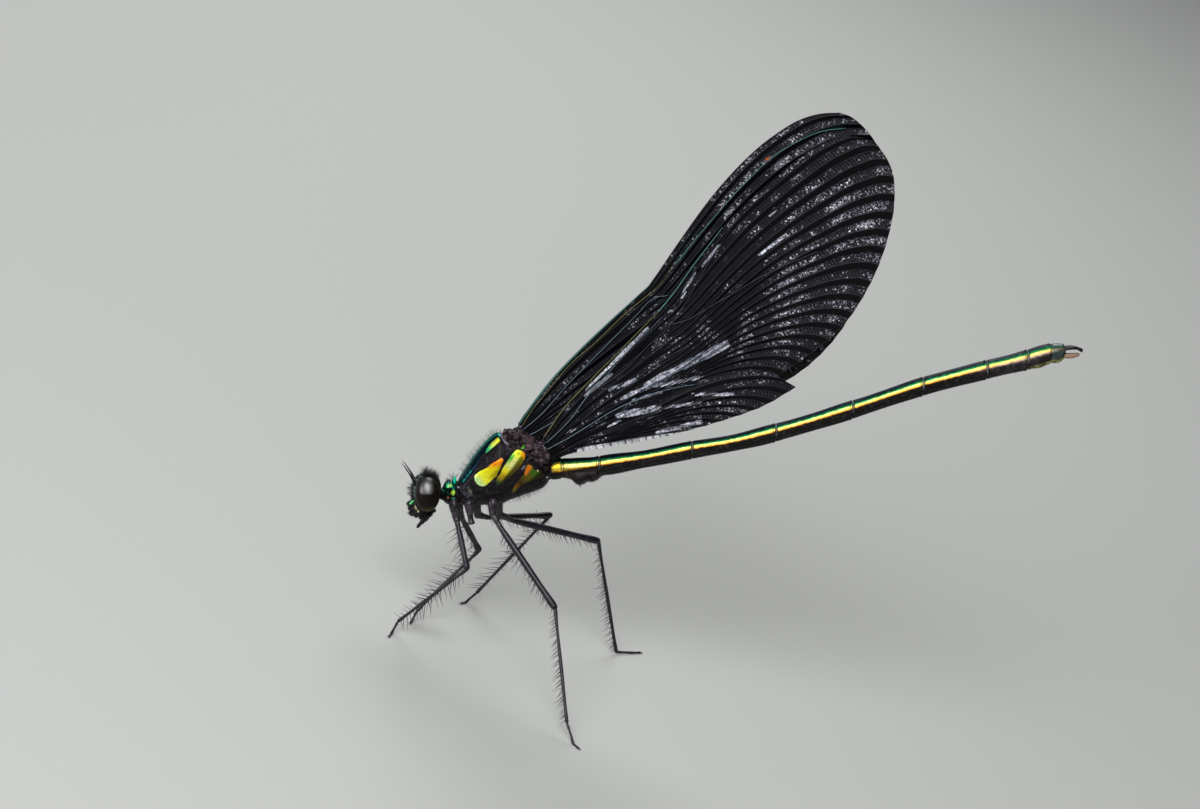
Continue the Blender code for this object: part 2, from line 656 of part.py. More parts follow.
def make_wing(name, outline, drop, finish):
    """A thin slab whose every second line is raised as a vein, cut clear of the thorax."""
    grid = turn_about(wing_grid(outline), np.array(outline["leading"][0]), -drop)
    lines, stations = grid.shape[:2]
    share = np.linspace(0.0, 1.0, stations)[None, :]
    raised = (np.arange(lines) % 2 == 0)[:, None] * np.clip((share - VEINS_START) / VEINS_RISE, 0.0, 1.0)
    half = MEMBRANE_HALF + (VEIN_HALF - MEMBRANE_HALF) * raised
    plane = WING_PLANES[name]
    near = np.stack([grid[..., 0], plane - half, grid[..., 1]], axis=-1).reshape(-1, 3)
    far = np.stack([grid[..., 0], plane + half, grid[..., 1]], axis=-1).reshape(-1, 3)
    count = lines * stations
    faces = []
    for line in range(lines - 1):
        for station in range(stations - 1):
            a = line * stations + station
            b = a + 1
            c = a + stations
            d = c + 1
            faces += [(a, b, d), (a, d, c)]
            faces += [(count + a, count + d, count + b), (count + a, count + c, count + d)]
    border = list(range(stations))
    border += [line * stations + stations - 1 for line in range(1, lines)]
    border += [(lines - 1) * stations + station for station in range(stations - 2, -1, -1)]
    border += [line * stations for line in range(lines - 2, 0, -1)]
    for first, second in zip(border, border[1:] + border[:1]):
        faces += [(first, count + first, count + second), (first, count + second, second)]
    root = (outline["leading"][0][0], plane, outline["leading"][0][1])
    wing = solid(name, (np.concatenate([near, far]), faces), finish, root)
    cut(wing, [solid("root_clearance", thorax_form(GAP))])
    return wing


def gather():
    """Hang every piece on one empty on the floor under the middle of the insect."""
    ground = bpy.data.objects.new("damselfly", None)
    bpy.context.scene.collection.objects.link(ground)
    for obj in bpy.data.objects:
        if obj.type == "MESH":
            obj.parent = ground


def main():
    clear_scene()
    cuticle = material("dark_cuticle", (0.02, 0.022, 0.03), 0.35)
    metal = material("green_cuticle", (0.03, 0.16, 0.10), 0.25, 0.6)
    eye = material("eye", (0.03, 0.018, 0.012), 0.12)
    leg_cuticle = material("leg", (0.02, 0.022, 0.035), 0.4)
    membrane = material("wing", (0.012, 0.011, 0.015), 0.45)

    make_head(cuticle)
    for name, side in (("left", -1), ("right", 1)):
        make_eye(f"eye_{name}", side, eye)
        make_antenna(f"antenna_{name}", side, cuticle)
    solid("prothorax", prothorax_form(), metal, PROTHORAX_ROOT)
    solid("thorax", thorax_form(), metal, (0.0, 0.0, 0.0))
    make_abdomen(metal)
    for name, leg in LEGS.items():
        make_leg(name, leg, leg_cuticle)
    make_stub(leg_cuticle)
    make_wing("forewing_left", FOREWING, 0.0, membrane)
    make_wing("forewing_right", FOREWING, FAR_WING_DROP, membrane)
    make_wing("hindwing_left", HINDWING, 0.0, membrane)
    make_wing("hindwing_right", HINDWING_SMOOTH, 0.0, membrane)
    gather()


main()
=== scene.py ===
"""A male black-winged damselfly, life size, standing on a pale floor.

Places are in millimetres in the insect's own frame: +X towards the tail, +Z up in the middle
plane of the body, +Y towards its right side, with the origin inside the thorax under the wing
roots. Only the last step of each piece turns them to the floor's frame, in metres.
"""
import math

import bpy
import numpy as np
from mathutils import Matrix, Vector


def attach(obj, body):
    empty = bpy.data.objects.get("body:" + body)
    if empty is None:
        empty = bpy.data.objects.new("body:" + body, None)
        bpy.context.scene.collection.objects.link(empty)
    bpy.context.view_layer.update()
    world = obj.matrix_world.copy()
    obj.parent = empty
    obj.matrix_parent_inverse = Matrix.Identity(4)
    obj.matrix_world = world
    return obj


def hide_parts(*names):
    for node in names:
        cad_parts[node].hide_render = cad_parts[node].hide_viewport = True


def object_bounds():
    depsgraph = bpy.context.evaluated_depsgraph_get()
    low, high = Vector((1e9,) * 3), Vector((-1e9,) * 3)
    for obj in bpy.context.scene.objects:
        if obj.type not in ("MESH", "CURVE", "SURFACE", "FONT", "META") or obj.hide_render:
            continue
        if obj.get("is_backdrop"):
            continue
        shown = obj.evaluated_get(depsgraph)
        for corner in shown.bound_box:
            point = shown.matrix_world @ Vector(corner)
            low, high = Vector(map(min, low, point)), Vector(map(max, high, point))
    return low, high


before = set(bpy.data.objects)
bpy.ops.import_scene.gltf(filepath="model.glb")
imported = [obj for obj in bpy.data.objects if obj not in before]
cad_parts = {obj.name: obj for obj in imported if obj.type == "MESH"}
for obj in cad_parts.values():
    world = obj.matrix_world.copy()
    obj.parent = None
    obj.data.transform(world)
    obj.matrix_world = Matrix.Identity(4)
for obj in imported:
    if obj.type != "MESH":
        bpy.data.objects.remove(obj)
cad_box = [list(corner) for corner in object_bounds()]


# Stance
# The insect stands on five feet with its tail end raised and its wings leaning to its right,
# so its own frame is turned and set on the floor as one.
MM = 0.001
PITCH, LEAN = math.radians(20.0), math.radians(12.0)
BODY_PLACE = np.array([-15.7, 2.4, 14.3])
BODY_AXES = np.array([
    [math.cos(PITCH), math.sin(PITCH) * math.sin(LEAN), math.sin(PITCH) * math.cos(LEAN)],
    [0.0, math.cos(LEAN), -math.sin(LEAN)],
    [-math.sin(PITCH), math.cos(PITCH) * math.sin(LEAN), math.cos(PITCH) * math.cos(LEAN)],
])


def on_floor(points):
    """Millimetres in the insect's frame to metres in the floor's: turn, move, then scale."""
    return (np.asarray(points, float) @ BODY_AXES + BODY_PLACE) * MM


def in_body(points):
    """Metres in the floor's frame back to millimetres in the insect's frame."""
    return (np.asarray(points, float) / MM - BODY_PLACE) @ BODY_AXES.T


def unit(vectors):
    vectors = np.asarray(vectors, float)
    return vectors / np.maximum(np.linalg.norm(vectors, axis=-1, keepdims=True), 1e-12)


# Camera
# It looks at the insect's left side from a little above through a long lens, so far off that
# the two wings of a side nearly cover each other, and it leans with the insect.
CAMERA_AZIMUTH, CAMERA_ELEVATION = math.radians(1.0), math.radians(12.0)
CAMERA_DISTANCE = 330.0
LENS, SENSOR, FRAME_WIDTH, FRAME_HEIGHT = 120.0, 36.0, 1200, 809
THORAX_PIXEL = (510.0, 480.0)

ahead = np.array([math.sin(CAMERA_AZIMUTH) * math.cos(CAMERA_ELEVATION),
                  math.cos(CAMERA_AZIMUTH) * math.cos(CAMERA_ELEVATION),
                  -math.sin(CAMERA_ELEVATION)])
rightward = unit(np.array([1.0, 0.0, 0.0]) - ahead * ahead[0])
upward = np.cross(rightward, ahead)
pixels_per_unit = LENS / SENSOR * FRAME_WIDTH
across_view = (THORAX_PIXEL[0] - FRAME_WIDTH / 2) / pixels_per_unit
down_view = (THORAX_PIXEL[1] - FRAME_HEIGHT / 2) / pixels_per_unit
eye_point = -CAMERA_DISTANCE * (ahead + across_view * rightward - down_view * upward)

camera_data = bpy.data.cameras.new("camera")
camera_data.lens = LENS
camera_data.sensor_width = SENSOR
camera_data.clip_start = 0.001
camera = bpy.data.objects.new("camera", camera_data)
bpy.context.scene.collection.objects.link(camera)
pose = np.eye(4)
pose[:3, :3] = np.stack([rightward, upward, -ahead], axis=1)
pose[:3, :3] = BODY_AXES.T @ pose[:3, :3]
pose[:3, 3] = on_floor(eye_point)
camera.matrix_world = Matrix(pose)
bpy.context.scene.camera = camera


# Floor and light
# A plain pale floor runs out of sight behind the insect. Soft lamps stand above it: a wide one
# on the camera's side, one behind for the crest of the back, and a low one by the head.
class Value:
    """A socket's value in a material, with arithmetic that adds Math nodes."""

    def __init__(self, finish, socket):
        self.finish = finish
        self.socket = socket

    def maths(self, operation, first, second):
        return self.finish.add("ShaderNodeMath", {"operation": operation}, {0: first, 1: second})

    def __add__(self, other):
        return self.maths("ADD", self, other)

    def __sub__(self, other):
        return self.maths("SUBTRACT", self, other)

    def __rsub__(self, other):
        return self.maths("SUBTRACT", other, self)

    def __mul__(self, other):
        return self.maths("MULTIPLY", self, other)

    def __abs__(self):
        return self.finish.add("ShaderNodeMath", {"operation": "ABSOLUTE"}, {0: self})

    def __round__(self):
        return self.finish.add("ShaderNodeMath", {"operation": "ROUND"}, {0: self})

    __radd__ = __add__
    __rmul__ = __mul__


class Finish:
    """A material with one Principled shader, whose other nodes are made by add()."""

    def __init__(self, name, **fixed):
        self.material = bpy.data.materials.new(name)
        self.material.use_nodes = True
        self.tree = self.material.node_tree
        self.shader = self.tree.nodes["Principled BSDF"]
        for socket, value in fixed.items():
            self.feed(self.shader.inputs[socket.replace("_", " ")], value)

    def feed(self, socket, value):
        if isinstance(value, Value):
            self.tree.links.new(value.socket, socket)
        elif isinstance(value, tuple) and len(value) == 3 and socket.type == "RGBA":
            socket.default_value = (*value, 1.0)
        else:
            socket.default_value = value

    def add(self, kind, settings=None, sockets=None, output=0):
        """A node from its type, its settings, and the values or links of its sockets."""
        node = self.tree.nodes.new(kind)
        for setting, value in (settings or {}).items():
            setattr(node, setting, value)
        for socket, value in (sockets or {}).items():
            self.feed(node.inputs[socket], value)
        return Value(self, node.outputs[output])

    def give(self, **varying):
        """Feed the shader's sockets with values that change over the surface."""
        for socket, value in varying.items():
            self.feed(self.shader.inputs[socket.replace("_", " ")], value)

    def blend(self, share, first, second):
        """The first colour where the share is 0, the second where it is 1."""
        sockets = {"Factor": share, 6: first, 7: second}
        return self.add("ShaderNodeMix", {"data_type": "RGBA"}, sockets, output=2)

    def highest(self, first, second):
        return first.maths("MAXIMUM", first, second)

    def noise(self, place, scale, detail=3.0, output=0):
        sockets = {"Vector": place, "Scale": scale, "Detail": detail}
        return self.add("ShaderNodeTexNoise", None, sockets, output)

    def bump(self, height, distance, strength=1.0):
        sockets = {"Height": height, "Distance": distance, "Strength": strength}
        return self.add("ShaderNodeBump", None, sockets)

    def attribute(self, name, output=2):
        return self.add("ShaderNodeAttribute", {"attribute_name": name}, None, output)

    def object_place(self):
        return self.add("ShaderNodeTexCoord", None, None, output=3)

    def ramp(self, share, low, high):
        """0 up to low, 1 from high on, and a smooth rise between them."""
        sockets = {"Value": share, "From Min": low, "From Max": high}
        return self.add("ShaderNodeMapRange", {"interpolation_type": "SMOOTHSTEP"}, sockets)


FLOOR_REACH = 2.5
floor_mesh = bpy.data.meshes.new("floor")
floor_mesh.from_pydata(
    [(-FLOOR_REACH, -FLOOR_REACH, 0.0), (FLOOR_REACH, -FLOOR_REACH, 0.0),
     (FLOOR_REACH, FLOOR_REACH, 0.0), (-FLOOR_REACH, FLOOR_REACH, 0.0)], [], [(0, 1, 2, 3)])
floor = bpy.data.objects.new("floor", floor_mesh)
bpy.context.scene.collection.objects.link(floor)
floor_mesh.materials.append(
    Finish("pale_floor", Base_Color=(0.54, 0.55, 0.53), Roughness=0.85).material)
floor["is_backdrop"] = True


def soft_lamp(name, place, target, width, height, power):
    """A flat lamp at a place in the insect's frame that faces a target there."""
    data = bpy.data.lights.new(name, "AREA")
    data.shape = "RECTANGLE"
    data.size, data.size_y = width, height
    data.energy = power
    lamp = bpy.data.objects.new(name, data)
    bpy.context.scene.collection.objects.link(lamp)
    start, end = on_floor(place), on_floor(target)
    back = unit(start - end)
    side = unit(np.cross((0.0, 0.0, 1.0), back))
    turn = np.eye(4)
    turn[:3, :3] = np.stack([side, np.cross(back, side), back], axis=1)
    turn[:3, 3] = start
    lamp.matrix_world = Matrix(turn)


soft_lamp("camera_side", (-20.0, -240.0, 210.0), (0.0, 0.0, 2.0), 0.26, 0.20, 1.00)
soft_lamp("behind", (60.0, 160.0, 220.0), (10.0, 0.0, 5.0), 0.14, 0.14, 0.34)
soft_lamp("head_side", (-260.0, -120.0, 60.0), (0.0, 0.0, 0.0), 0.10, 0.10, 0.30)
world = bpy.data.worlds.new("studio")
world.use_nodes = True
world.node_tree.nodes["Background"].inputs["Color"].default_value = (0.80, 0.84, 0.88, 1.0)
world.node_tree.nodes["Background"].inputs["Strength"].default_value = 0.13
bpy.context.scene.world = world
bpy.context.scene.view_settings.view_transform = "Standard"


# Wings
# Four pleated sheets of dark membrane between stiff veins, joined to the thorax at narrow
# roots and held together over the back. A pleat is smooth and black where it faces down, and
# crumpled where it faces up, where its cells are painted a shade lighter and carry pale flecks
# that are painted glints; streaks and a ladder of pale cells are painted reflections.
WING_PLANES = {"forewing_left": -0.435, "forewing_right": 0.435,
               "hindwing_left": -1.305, "hindwing_right": 1.305}
FOREWING = {
    "leading": [(0.4, 3.6), (0.76, 4.76), (1.73, 6.2), (3.45, 8.48), (5.5, 10.73), (8.0, 13.2),
                (10.57, 15.63), (11.36, 16.40), (11.52, 16.62), (13.16, 19.06), (14.88, 21.59),
                (16.34, 23.6), (17.75, 25.3), (19.16, 26.8), (20.45, 27.98), (21.86, 29.03),
                (23.45, 29.98), (25.2, 30.5), (26.7, 30.58)],
    "margin": [[(26.7, 30.58), (27.45, 30.36), (28.1, 29.92), (28.75, 29.3), (29.4, 28.5),
                (30.3, 25.4), (29.8, 21.6), (28.1, 18.2), (25.9, 15.5), (23.0, 13.2),
                (19.0, 10.8), (14.0, 8.3)]],
    "anal": [(1.6, 3.3), (4.5, 4.9), (9.0, 6.5), (14.0, 8.3)],
}
HINDWING = {
    "leading": [(2.1, 2.0), (2.7, 3.5), (3.9, 5.5), (6.0, 8.1), (8.8, 11.0), (11.43, 13.69),
                (12.2, 14.45), (13.16, 15.68), (15.09, 18.44), (17.3, 21.3), (21.5, 25.4),
                (25.1, 28.1), (26.6, 28.75), (27.5, 28.8)],
    "margin": [[(27.5, 28.8), (28.7, 28.6), (29.7, 28.0), (30.9, 26.2), (31.2, 23.6),
                (30.8, 20.8), (29.1, 16.2), (27.0, 13.0), (24.2, 10.6), (21.9, 9.0)],
               [(21.9, 9.0), (23.4, 8.1)],
               [(23.4, 8.1), (20.9, 6.6), (17.4, 5.3), (13.2, 4.1)]],
    "anal": [(3.1, 1.5), (4.3, 2.3), (6.8, 2.9), (10.7, 3.6), (13.2, 4.1)],
}
HINDWING_SMOOTH = {
    "leading": HINDWING["leading"],
    "margin": [[(27.5, 28.8), (28.7, 28.6), (29.7, 28.0), (30.8, 26.0), (31.0, 23.4),
                (30.6, 20.2), (29.0, 15.7), (27.0, 12.0), (24.6, 9.4), (21.6, 7.4),
                (17.4, 5.5), (13.2, 4.2)]],
    "anal": HINDWING["anal"][:-1] + [(13.2, 4.2)],
}
# Stout veins in the wing's plane: their colour, half width at each end, and line
GOLD, SKY, SEA, SLATE = (0.30, 0.28, 0.13), (0.20, 0.27, 0.33), (0.20, 0.50, 0.44), (0.09, 0.09, 0.12)
FORE_VEINS = [
    ((0.03, 0.17, 0.15), 0.050, 0.030, FOREWING["leading"][1:9]),
    (GOLD, 0.040, 0.030, [(1.0, 4.6), (1.4, 5.37), (3.04, 7.55), (4.84, 9.73), (6.97, 11.65),
                          (9.71, 14.3), (11.17, 15.52), (11.88, 16.07), (13.5, 18.17)]),
    (SEA, 0.034, 0.016, [(13.5, 18.17), (15.97, 21.28), (19.06, 24.83), (21.37, 27.07),
                         (23.3, 28.25), (25.3, 29.1), (27.2, 29.35)]),
    (SKY, 0.055, 0.030, [(1.0, 4.29), (2.35, 5.42), (4.44, 7.81), (6.32, 9.81), (8.44, 11.98),
                         (10.37, 13.97), (11.88, 15.41), (12.92, 15.58)]),
    (SKY, 0.055, 0.030, [(1.26, 3.78), (2.01, 4.11), (2.88, 4.61), (3.8, 5.19), (5.2, 6.5)]),
]
HIND_VEINS = [
    (GOLD, 0.045, 0.034, [(2.75, 3.86), (3.32, 4.71), (4.27, 6.15), (6.07, 8.15), (8.84, 10.99),
                          (11.43, 13.69), (12.08, 14.36)]),
    (SEA, 0.042, 0.020, [(12.08, 14.36), (13.16, 15.68), (15.09, 18.44), (17.28, 21.35)]),
    (SKY, 0.060, 0.030, [(2.97, 3.45), (3.97, 4.35), (5.02, 5.51), (6.31, 7.32), (7.78, 8.99),
                         (10.06, 11.57), (11.84, 13.32), (12.41, 13.97)]),
    (SLATE, 0.030, 0.026, [(7.46, 8.15), (9.5, 9.66), (11.44, 11.74), (13.17, 13.36),
                           (14.68, 15.79), (16.81, 19.54), (18.9, 22.74)]),
    (SLATE, 0.028, 0.022, [(5.83, 5.23), (7.46, 6.65), (9.83, 8.41), (12.27, 10.24),
                           (14.6, 11.6)]),
    (SKY, 0.055, 0.028, [(3.01, 2.87), (4.41, 3.63), (6.16, 4.71), (8.61, 6.23), (11.06, 7.32),
                         (13.51, 8.07), (15.2, 8.35)]),
    (SKY, 0.022, 0.030, [(10.65, 7.9), (11.87, 8.32), (12.69, 8.91), (14.3, 9.75),
                         (16.6, 10.7)]),
    (SLATE, 0.030, 0.020, [(13.17, 13.36), (13.93, 13.53), (16.86, 15.13), (21.17, 17.67),
                           (25.0, 19.4)]),
]
WING_PLEATS = 51
LINES_PER_PLEAT = 4
WING_LINES = WING_PLEATS * LINES_PER_PLEAT + 1
WING_STATIONS = 205
WING_BOW = 0.10
PLEAT_DEPTH = 0.11
FAR_WING_DROP = math.radians(0.4)
# Painted reflections on cells that lie flat to the light: start and end in the wing's plane, and half their width
REFLECTION_STREAKS = [
    ((14.2, 9.9), (17.6, 11.6), 0.34), ((11.2, 8.3), (14.2, 9.9), 0.24),
    ((8.9, 5.75), (12.2, 6.35), 0.26), ((12.1, 4.3), (15.6, 5.2), 0.16), ((6.3, 7.9), (11.2, 13.0), 0.12),
    ((14.0, 15.6), (15.0, 17.6), 0.14), ((15.7, 18.2), (17.0, 19.8), 0.12),
    ((20.3, 19.1), (22.2, 20.6), 0.12), ((21.1, 22.4), (21.6, 22.9), 0.14),
    ((6.2, 7.5), (8.3, 9.1), 0.18), ((8.2, 7.9), (10.2, 8.7), 0.16),
    ((9.2, 7.2), (12.0, 8.4), 0.16), ((10.1, 7.0), (12.4, 7.7), 0.10),
    ((12.0, 8.2), (15.4, 8.9), 0.14), ((15.0, 7.5), (18.2, 7.5), 0.12),
    ((12.7, 6.4), (15.6, 6.8), 0.12), ((4.7, 4.25), (5.3, 4.6), 0.10),
    ((8.1, 4.8), (9.0, 5.3), 0.10),
]


def curve_through(stations, count, measured=3):
    """Rows at even distances on a cubic curve through the stations.

    Between two stations the row is the Hermite blend of their values and slopes; distance is
    measured over the first columns only.
    """
    rows = np.asarray(stations, float)
    steps = np.linalg.norm(np.diff(rows[:, :measured], axis=0), axis=1)
    along = np.concatenate(([0.0], np.cumsum(steps)))
    return hermite(rows, along, np.linspace(0.0, along[-1], count))


def hermite(rows, along, at):
    """The cubic Hermite blend of the rows, which stand at the places in along."""
    slopes = np.gradient(rows, along, axis=0)
    left = np.clip(np.searchsorted(along, at, side="right") - 1, 0, len(along) - 2)
    span = (along[left + 1] - along[left])[:, None]
    t = (at - along[left])[:, None] / span
    start = (1 + 2 * t) * (1 - t) ** 2 * rows[left] + t * (1 - t) ** 2 * span * slopes[left]
    end = t * t * (3 - 2 * t) * rows[left + 1] + t * t * (t - 1) * span * slopes[left + 1]
    return start + end


def smoothstep(low, high, value):
    """0 below low, 1 above high, and 3t^2 - 2t^3 between them."""
    t = np.clip((np.asarray(value, float) - low) / (high - low), 0.0, 1.0)
    return t * t * (3 - 2 * t)


def shared_lines(parts, total):
    """Points over the parts of a margin, each part with its share of the lines."""
    lengths = [np.linalg.norm(np.diff(np.asarray(part), axis=0), axis=1).sum() for part in parts]
    steps = [max(1, round((total - 1) * length / sum(lengths))) for length in lengths]
    steps[0] += total - 1 - sum(steps)
    sampled = [curve_through(part, count + 1, 2) for part, count in zip(parts, steps)]
    return np.concatenate([sampled[0]] + [piece[1:] for piece in sampled[1:]])


def wing_sheet(outline, lines, stations):
    """A patch blended between four edges: the two pairs of edges less the flat corner patch.

    Its lines run from the root to the margin and bow towards the leading edge by a bump that
    is 1 at the patch's middle.
    """
    leading = curve_through(outline["leading"], stations, 2)
    anal = curve_through(outline["anal"], stations, 2)
    margin = shared_lines(outline["margin"], lines)
    u = np.linspace(0.0, 1.0, stations)[None, :, None]
    v = np.linspace(0.0, 1.0, lines)[:, None, None]
    root = leading[0] + (anal[0] - leading[0]) * v
    corners = (1 - u) * root + u * (leading[-1] + (anal[-1] - leading[-1]) * v)
    edges = (1 - v) * leading + v * anal
    ends = (1 - u) * root + u * margin[:, None]
    bow = WING_BOW * 16.0 * u * (1 - u) * v * (1 - v)
    return edges + ends - corners + bow * (leading - anal)


def fold(pleat):
    """A zigzag that is -1 at even whole numbers and 1 at odd ones."""
    return 1.0 - 2.0 * np.abs(np.mod(pleat, 2.0) - 1.0)


def streak(points, start, end, half_width):
    """1 on the stretch from start to end, falling to 0 past half its width."""
    start, end = np.asarray(start, float), np.asarray(end, float)
    along = end - start
    t = np.clip(((points - start) @ along) / (along @ along), 0.0, 1.0)
    distance = np.linalg.norm(points - start - t[..., None] * along, axis=-1)
    return 1.0 - smoothstep(0.6 * half_width, 1.5 * half_width, distance)


def grid_quads(rows, columns, ring=False):
    """Corner numbers of the quads between neighbouring rows and columns of a grid."""
    row = np.arange(rows - 1)[:, None] * columns
    column = np.arange(columns if ring else columns - 1)[None, :]
    following = (column + 1) % columns
    quads = np.stack([row + column, row + following,
                      row + following + columns, row + column + columns], axis=-1)
    return quads.reshape(-1, 4)


def outward(points, faces):
    """The faces, turned over where the closed surface would hold a negative volume."""
    volume = 0.0
    for group in faces:
        corners = points[group]
        for last in range(2, group.shape[1]):
            cross = np.cross(corners[:, last - 1], corners[:, last])
            volume += (corners[:, 0] * cross).sum()
    return faces if volume > 0 else [group[:, ::-1] for group in faces]


def close_tube(grid):
    """The points and faces of rings joined in order, with a fan of triangles at each end."""
    rings, sides = grid.shape[:2]
    points = np.concatenate([grid.reshape(-1, 3), grid[:1].mean(1), grid[-1:].mean(1)])
    around = np.arange(sides)
    following = (around + 1) % sides
    first = np.stack([np.full(sides, rings * sides), following, around], axis=1)
    last_ring = (rings - 1) * sides
    last = np.stack([np.full(sides, rings * sides + 1), last_ring + around,
                     last_ring + following], axis=1)
    faces = [grid_quads(rings, sides, ring=True), np.concatenate([first, last])]
    return points, outward(points, faces)


def new_piece(name, points, faces, finish, slot, replaces=(), values=None, maps=None):
    """A smooth piece that rides on the insect's body.

    values holds numbers or colours for each point, and maps a UV place for each point.
    """
    mesh = bpy.data.meshes.new(name)
    corners = [face for group in faces for face in group.tolist()]
    mesh.from_pydata(on_floor(points).tolist(), [], corners)
    mesh.polygons.foreach_set("use_smooth", np.ones(len(corners), bool))
    for label, numbers in (values or {}).items():
        numbers = np.asarray(numbers, float)
        colour = numbers.ndim == 2
        layer = mesh.attributes.new(label, "FLOAT_COLOR" if colour else "FLOAT", "POINT")
        if colour:
            numbers = np.concatenate([numbers, np.ones((len(numbers), 1))], axis=1)
            layer.data.foreach_set("color", numbers.ravel())
        else:
            layer.data.foreach_set("value", numbers)
    at_corner = np.concatenate([group.ravel() for group in faces])
    for label, places in (maps or {}).items():
        layer = mesh.uv_layers.new(name=label)
        layer.data.foreach_set("uv", np.asarray(places, float)[at_corner].ravel())
    mesh.materials.append(finish.material)
    piece = bpy.data.objects.new(name, mesh)
    bpy.context.scene.collection.objects.link(piece)
    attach(piece, "root")
    if replaces:
        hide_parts(*replaces)
    return piece


def wing_finish():
    """Glossy black membrane whose crumpled pleats carry cross veins and pale flecks painted as glints.

    Flecks are the cells of a warped Voronoi pattern, chosen by each cell's random number plus
    a slow noise. Lines stand where the pleat's number is whole, measured in millimetres.
    """
    finish = Finish("wing_membrane", Specular_IOR_Level=0.12)
    place = finish.object_place()
    warp = finish.noise(place, 9000.0, 2.0, output=1)
    bent = finish.add("ShaderNodeVectorMath", {"operation": "MULTIPLY_ADD"},
                      {0: warp, 1: (0.00026, 0.00026, 0.00026), 2: place})
    cell = {"Vector": bent, "Scale": 7600.0}
    cell_colour = finish.add("ShaderNodeTexVoronoi", {"feature": "F1"}, cell, 1)
    chance = finish.add("ShaderNodeSeparateXYZ", None, {0: cell_colour})
    shade = finish.add("ShaderNodeSeparateXYZ", None, {0: cell_colour}, output=1)
    border = finish.add("ShaderNodeTexVoronoi", {"feature": "DISTANCE_TO_EDGE"}, cell)
    patch = finish.noise(place, 430.0, 3.0)
    crinkle = finish.attribute("crinkle")
    reflection_streak = finish.ramp(finish.attribute("reflection_streak") + 0.8 * patch, 0.72, 0.96)
    pleat, width = finish.attribute("pleat"), finish.attribute("pleat_mm")
    spread, along = finish.attribute("spread"), finish.attribute("along_mm")
    stout_vein, outer = finish.attribute("stout_vein"), finish.attribute("outer")
    fine_gap = abs(pleat - round(pleat)) * width
    third = pleat * (1.0 / 3.0)
    coarse_gap = abs(third - round(third)) * 3.0 * width
    line = finish.ramp(fine_gap, 0.060, 0.025) * spread
    line = finish.highest(line, finish.ramp(coarse_gap, 0.060, 0.025))
    line = line * finish.ramp(width, 0.05, 0.15)
    rung_place = along * 3.6 + 0.5 * patch
    rung = finish.ramp(abs(rung_place - round(rung_place)), 0.14, 0.05) * crinkle
    rung = rung * finish.highest(finish.ramp(patch, 0.45, 0.6), outer)
    # Pale flecks on the crumpled cells, brighter towards the margin and in the reflection streaks, are painted
    # glints.
    lit = finish.ramp(chance + 2.2 * patch + 0.75 * reflection_streak + 0.22 * outer, 1.98, 2.20)
    glint_fleck = lit * finish.ramp(border, 0.04, 0.18) * finish.highest(crinkle, reflection_streak)
    glint_fleck = glint_fleck * (0.25 + 0.75 * shade)
    # The up-facing crumpled pleats are painted a shade lighter than the smooth down-facing ones.
    dark = finish.blend(crinkle, (0.0020, 0.0016, 0.0025), (0.0062, 0.0052, 0.0078))
    dark = finish.blend(finish.attribute("brown"), dark, (0.014, 0.008, 0.005))
    colour = finish.blend(0.3 * rung + 0.3 * outer * rung * patch, dark, (0.085, 0.085, 0.110))
    colour = finish.blend(line * (0.15 + 0.45 * patch), colour, (0.050, 0.055, 0.072))
    large = {"Vector": bent, "Scale": 2500.0}
    large_colour = finish.add("ShaderNodeTexVoronoi", {"feature": "F1"}, large, 1)
    large_shade = finish.add("ShaderNodeSeparateXYZ", None, {0: large_colour})
    large_border = finish.add("ShaderNodeTexVoronoi", {"feature": "DISTANCE_TO_EDGE"}, large)
    # A painted reflection: pale silvery cells along the reflection streaks.
    sheen = reflection_streak * finish.ramp(large_border, 0.02, 0.12) * (0.50 + 0.5 * large_shade)
    colour = finish.blend(sheen, colour, finish.blend(large_shade, (0.26, 0.30, 0.40), (0.84, 0.86, 0.95)))
    # The ladder is a painted reflection: tall pale cells along the hindwings' rear edge.
    ladder = finish.attribute("ladder")
    tall_place = along * 1.72 + 0.16 * chance + 0.50 * patch
    tall_gap = abs(tall_place - round(tall_place))
    tall = finish.ramp(ladder + 0.22 * patch, 0.48, 0.56) * finish.ramp(tall_gap, 0.04, 0.11)
    colour = finish.blend(tall * (0.50 + 0.50 * large_shade), colour, (0.80, 0.81, 0.85))
    pale = finish.blend(shade, (0.46, 0.48, 0.66), (0.86, 0.84, 0.90))
    colour = finish.blend(glint_fleck, colour, pale)
    vein_tint = finish.add("ShaderNodeAttribute", {"attribute_name": "vein_tint"}, None, 0)
    colour = finish.blend(stout_vein, colour, vein_tint)
    colour = finish.blend(finish.attribute("orange"), colour, (0.60, 0.14, 0.02))
    height = (chance * 0.6 + finish.ramp(border, 0.0, 0.15) * 0.4) * crinkle
    finish.give(
        Base_Color=colour,
        Metallic=0.30 * glint_fleck + 0.55 * stout_vein,
        Roughness=0.30 + 0.10 * crinkle,
        Normal=finish.bump(height, 0.00008, 0.7),
    )
    return finish


wing_membrane = wing_finish()
dice = np.random.default_rng(11)


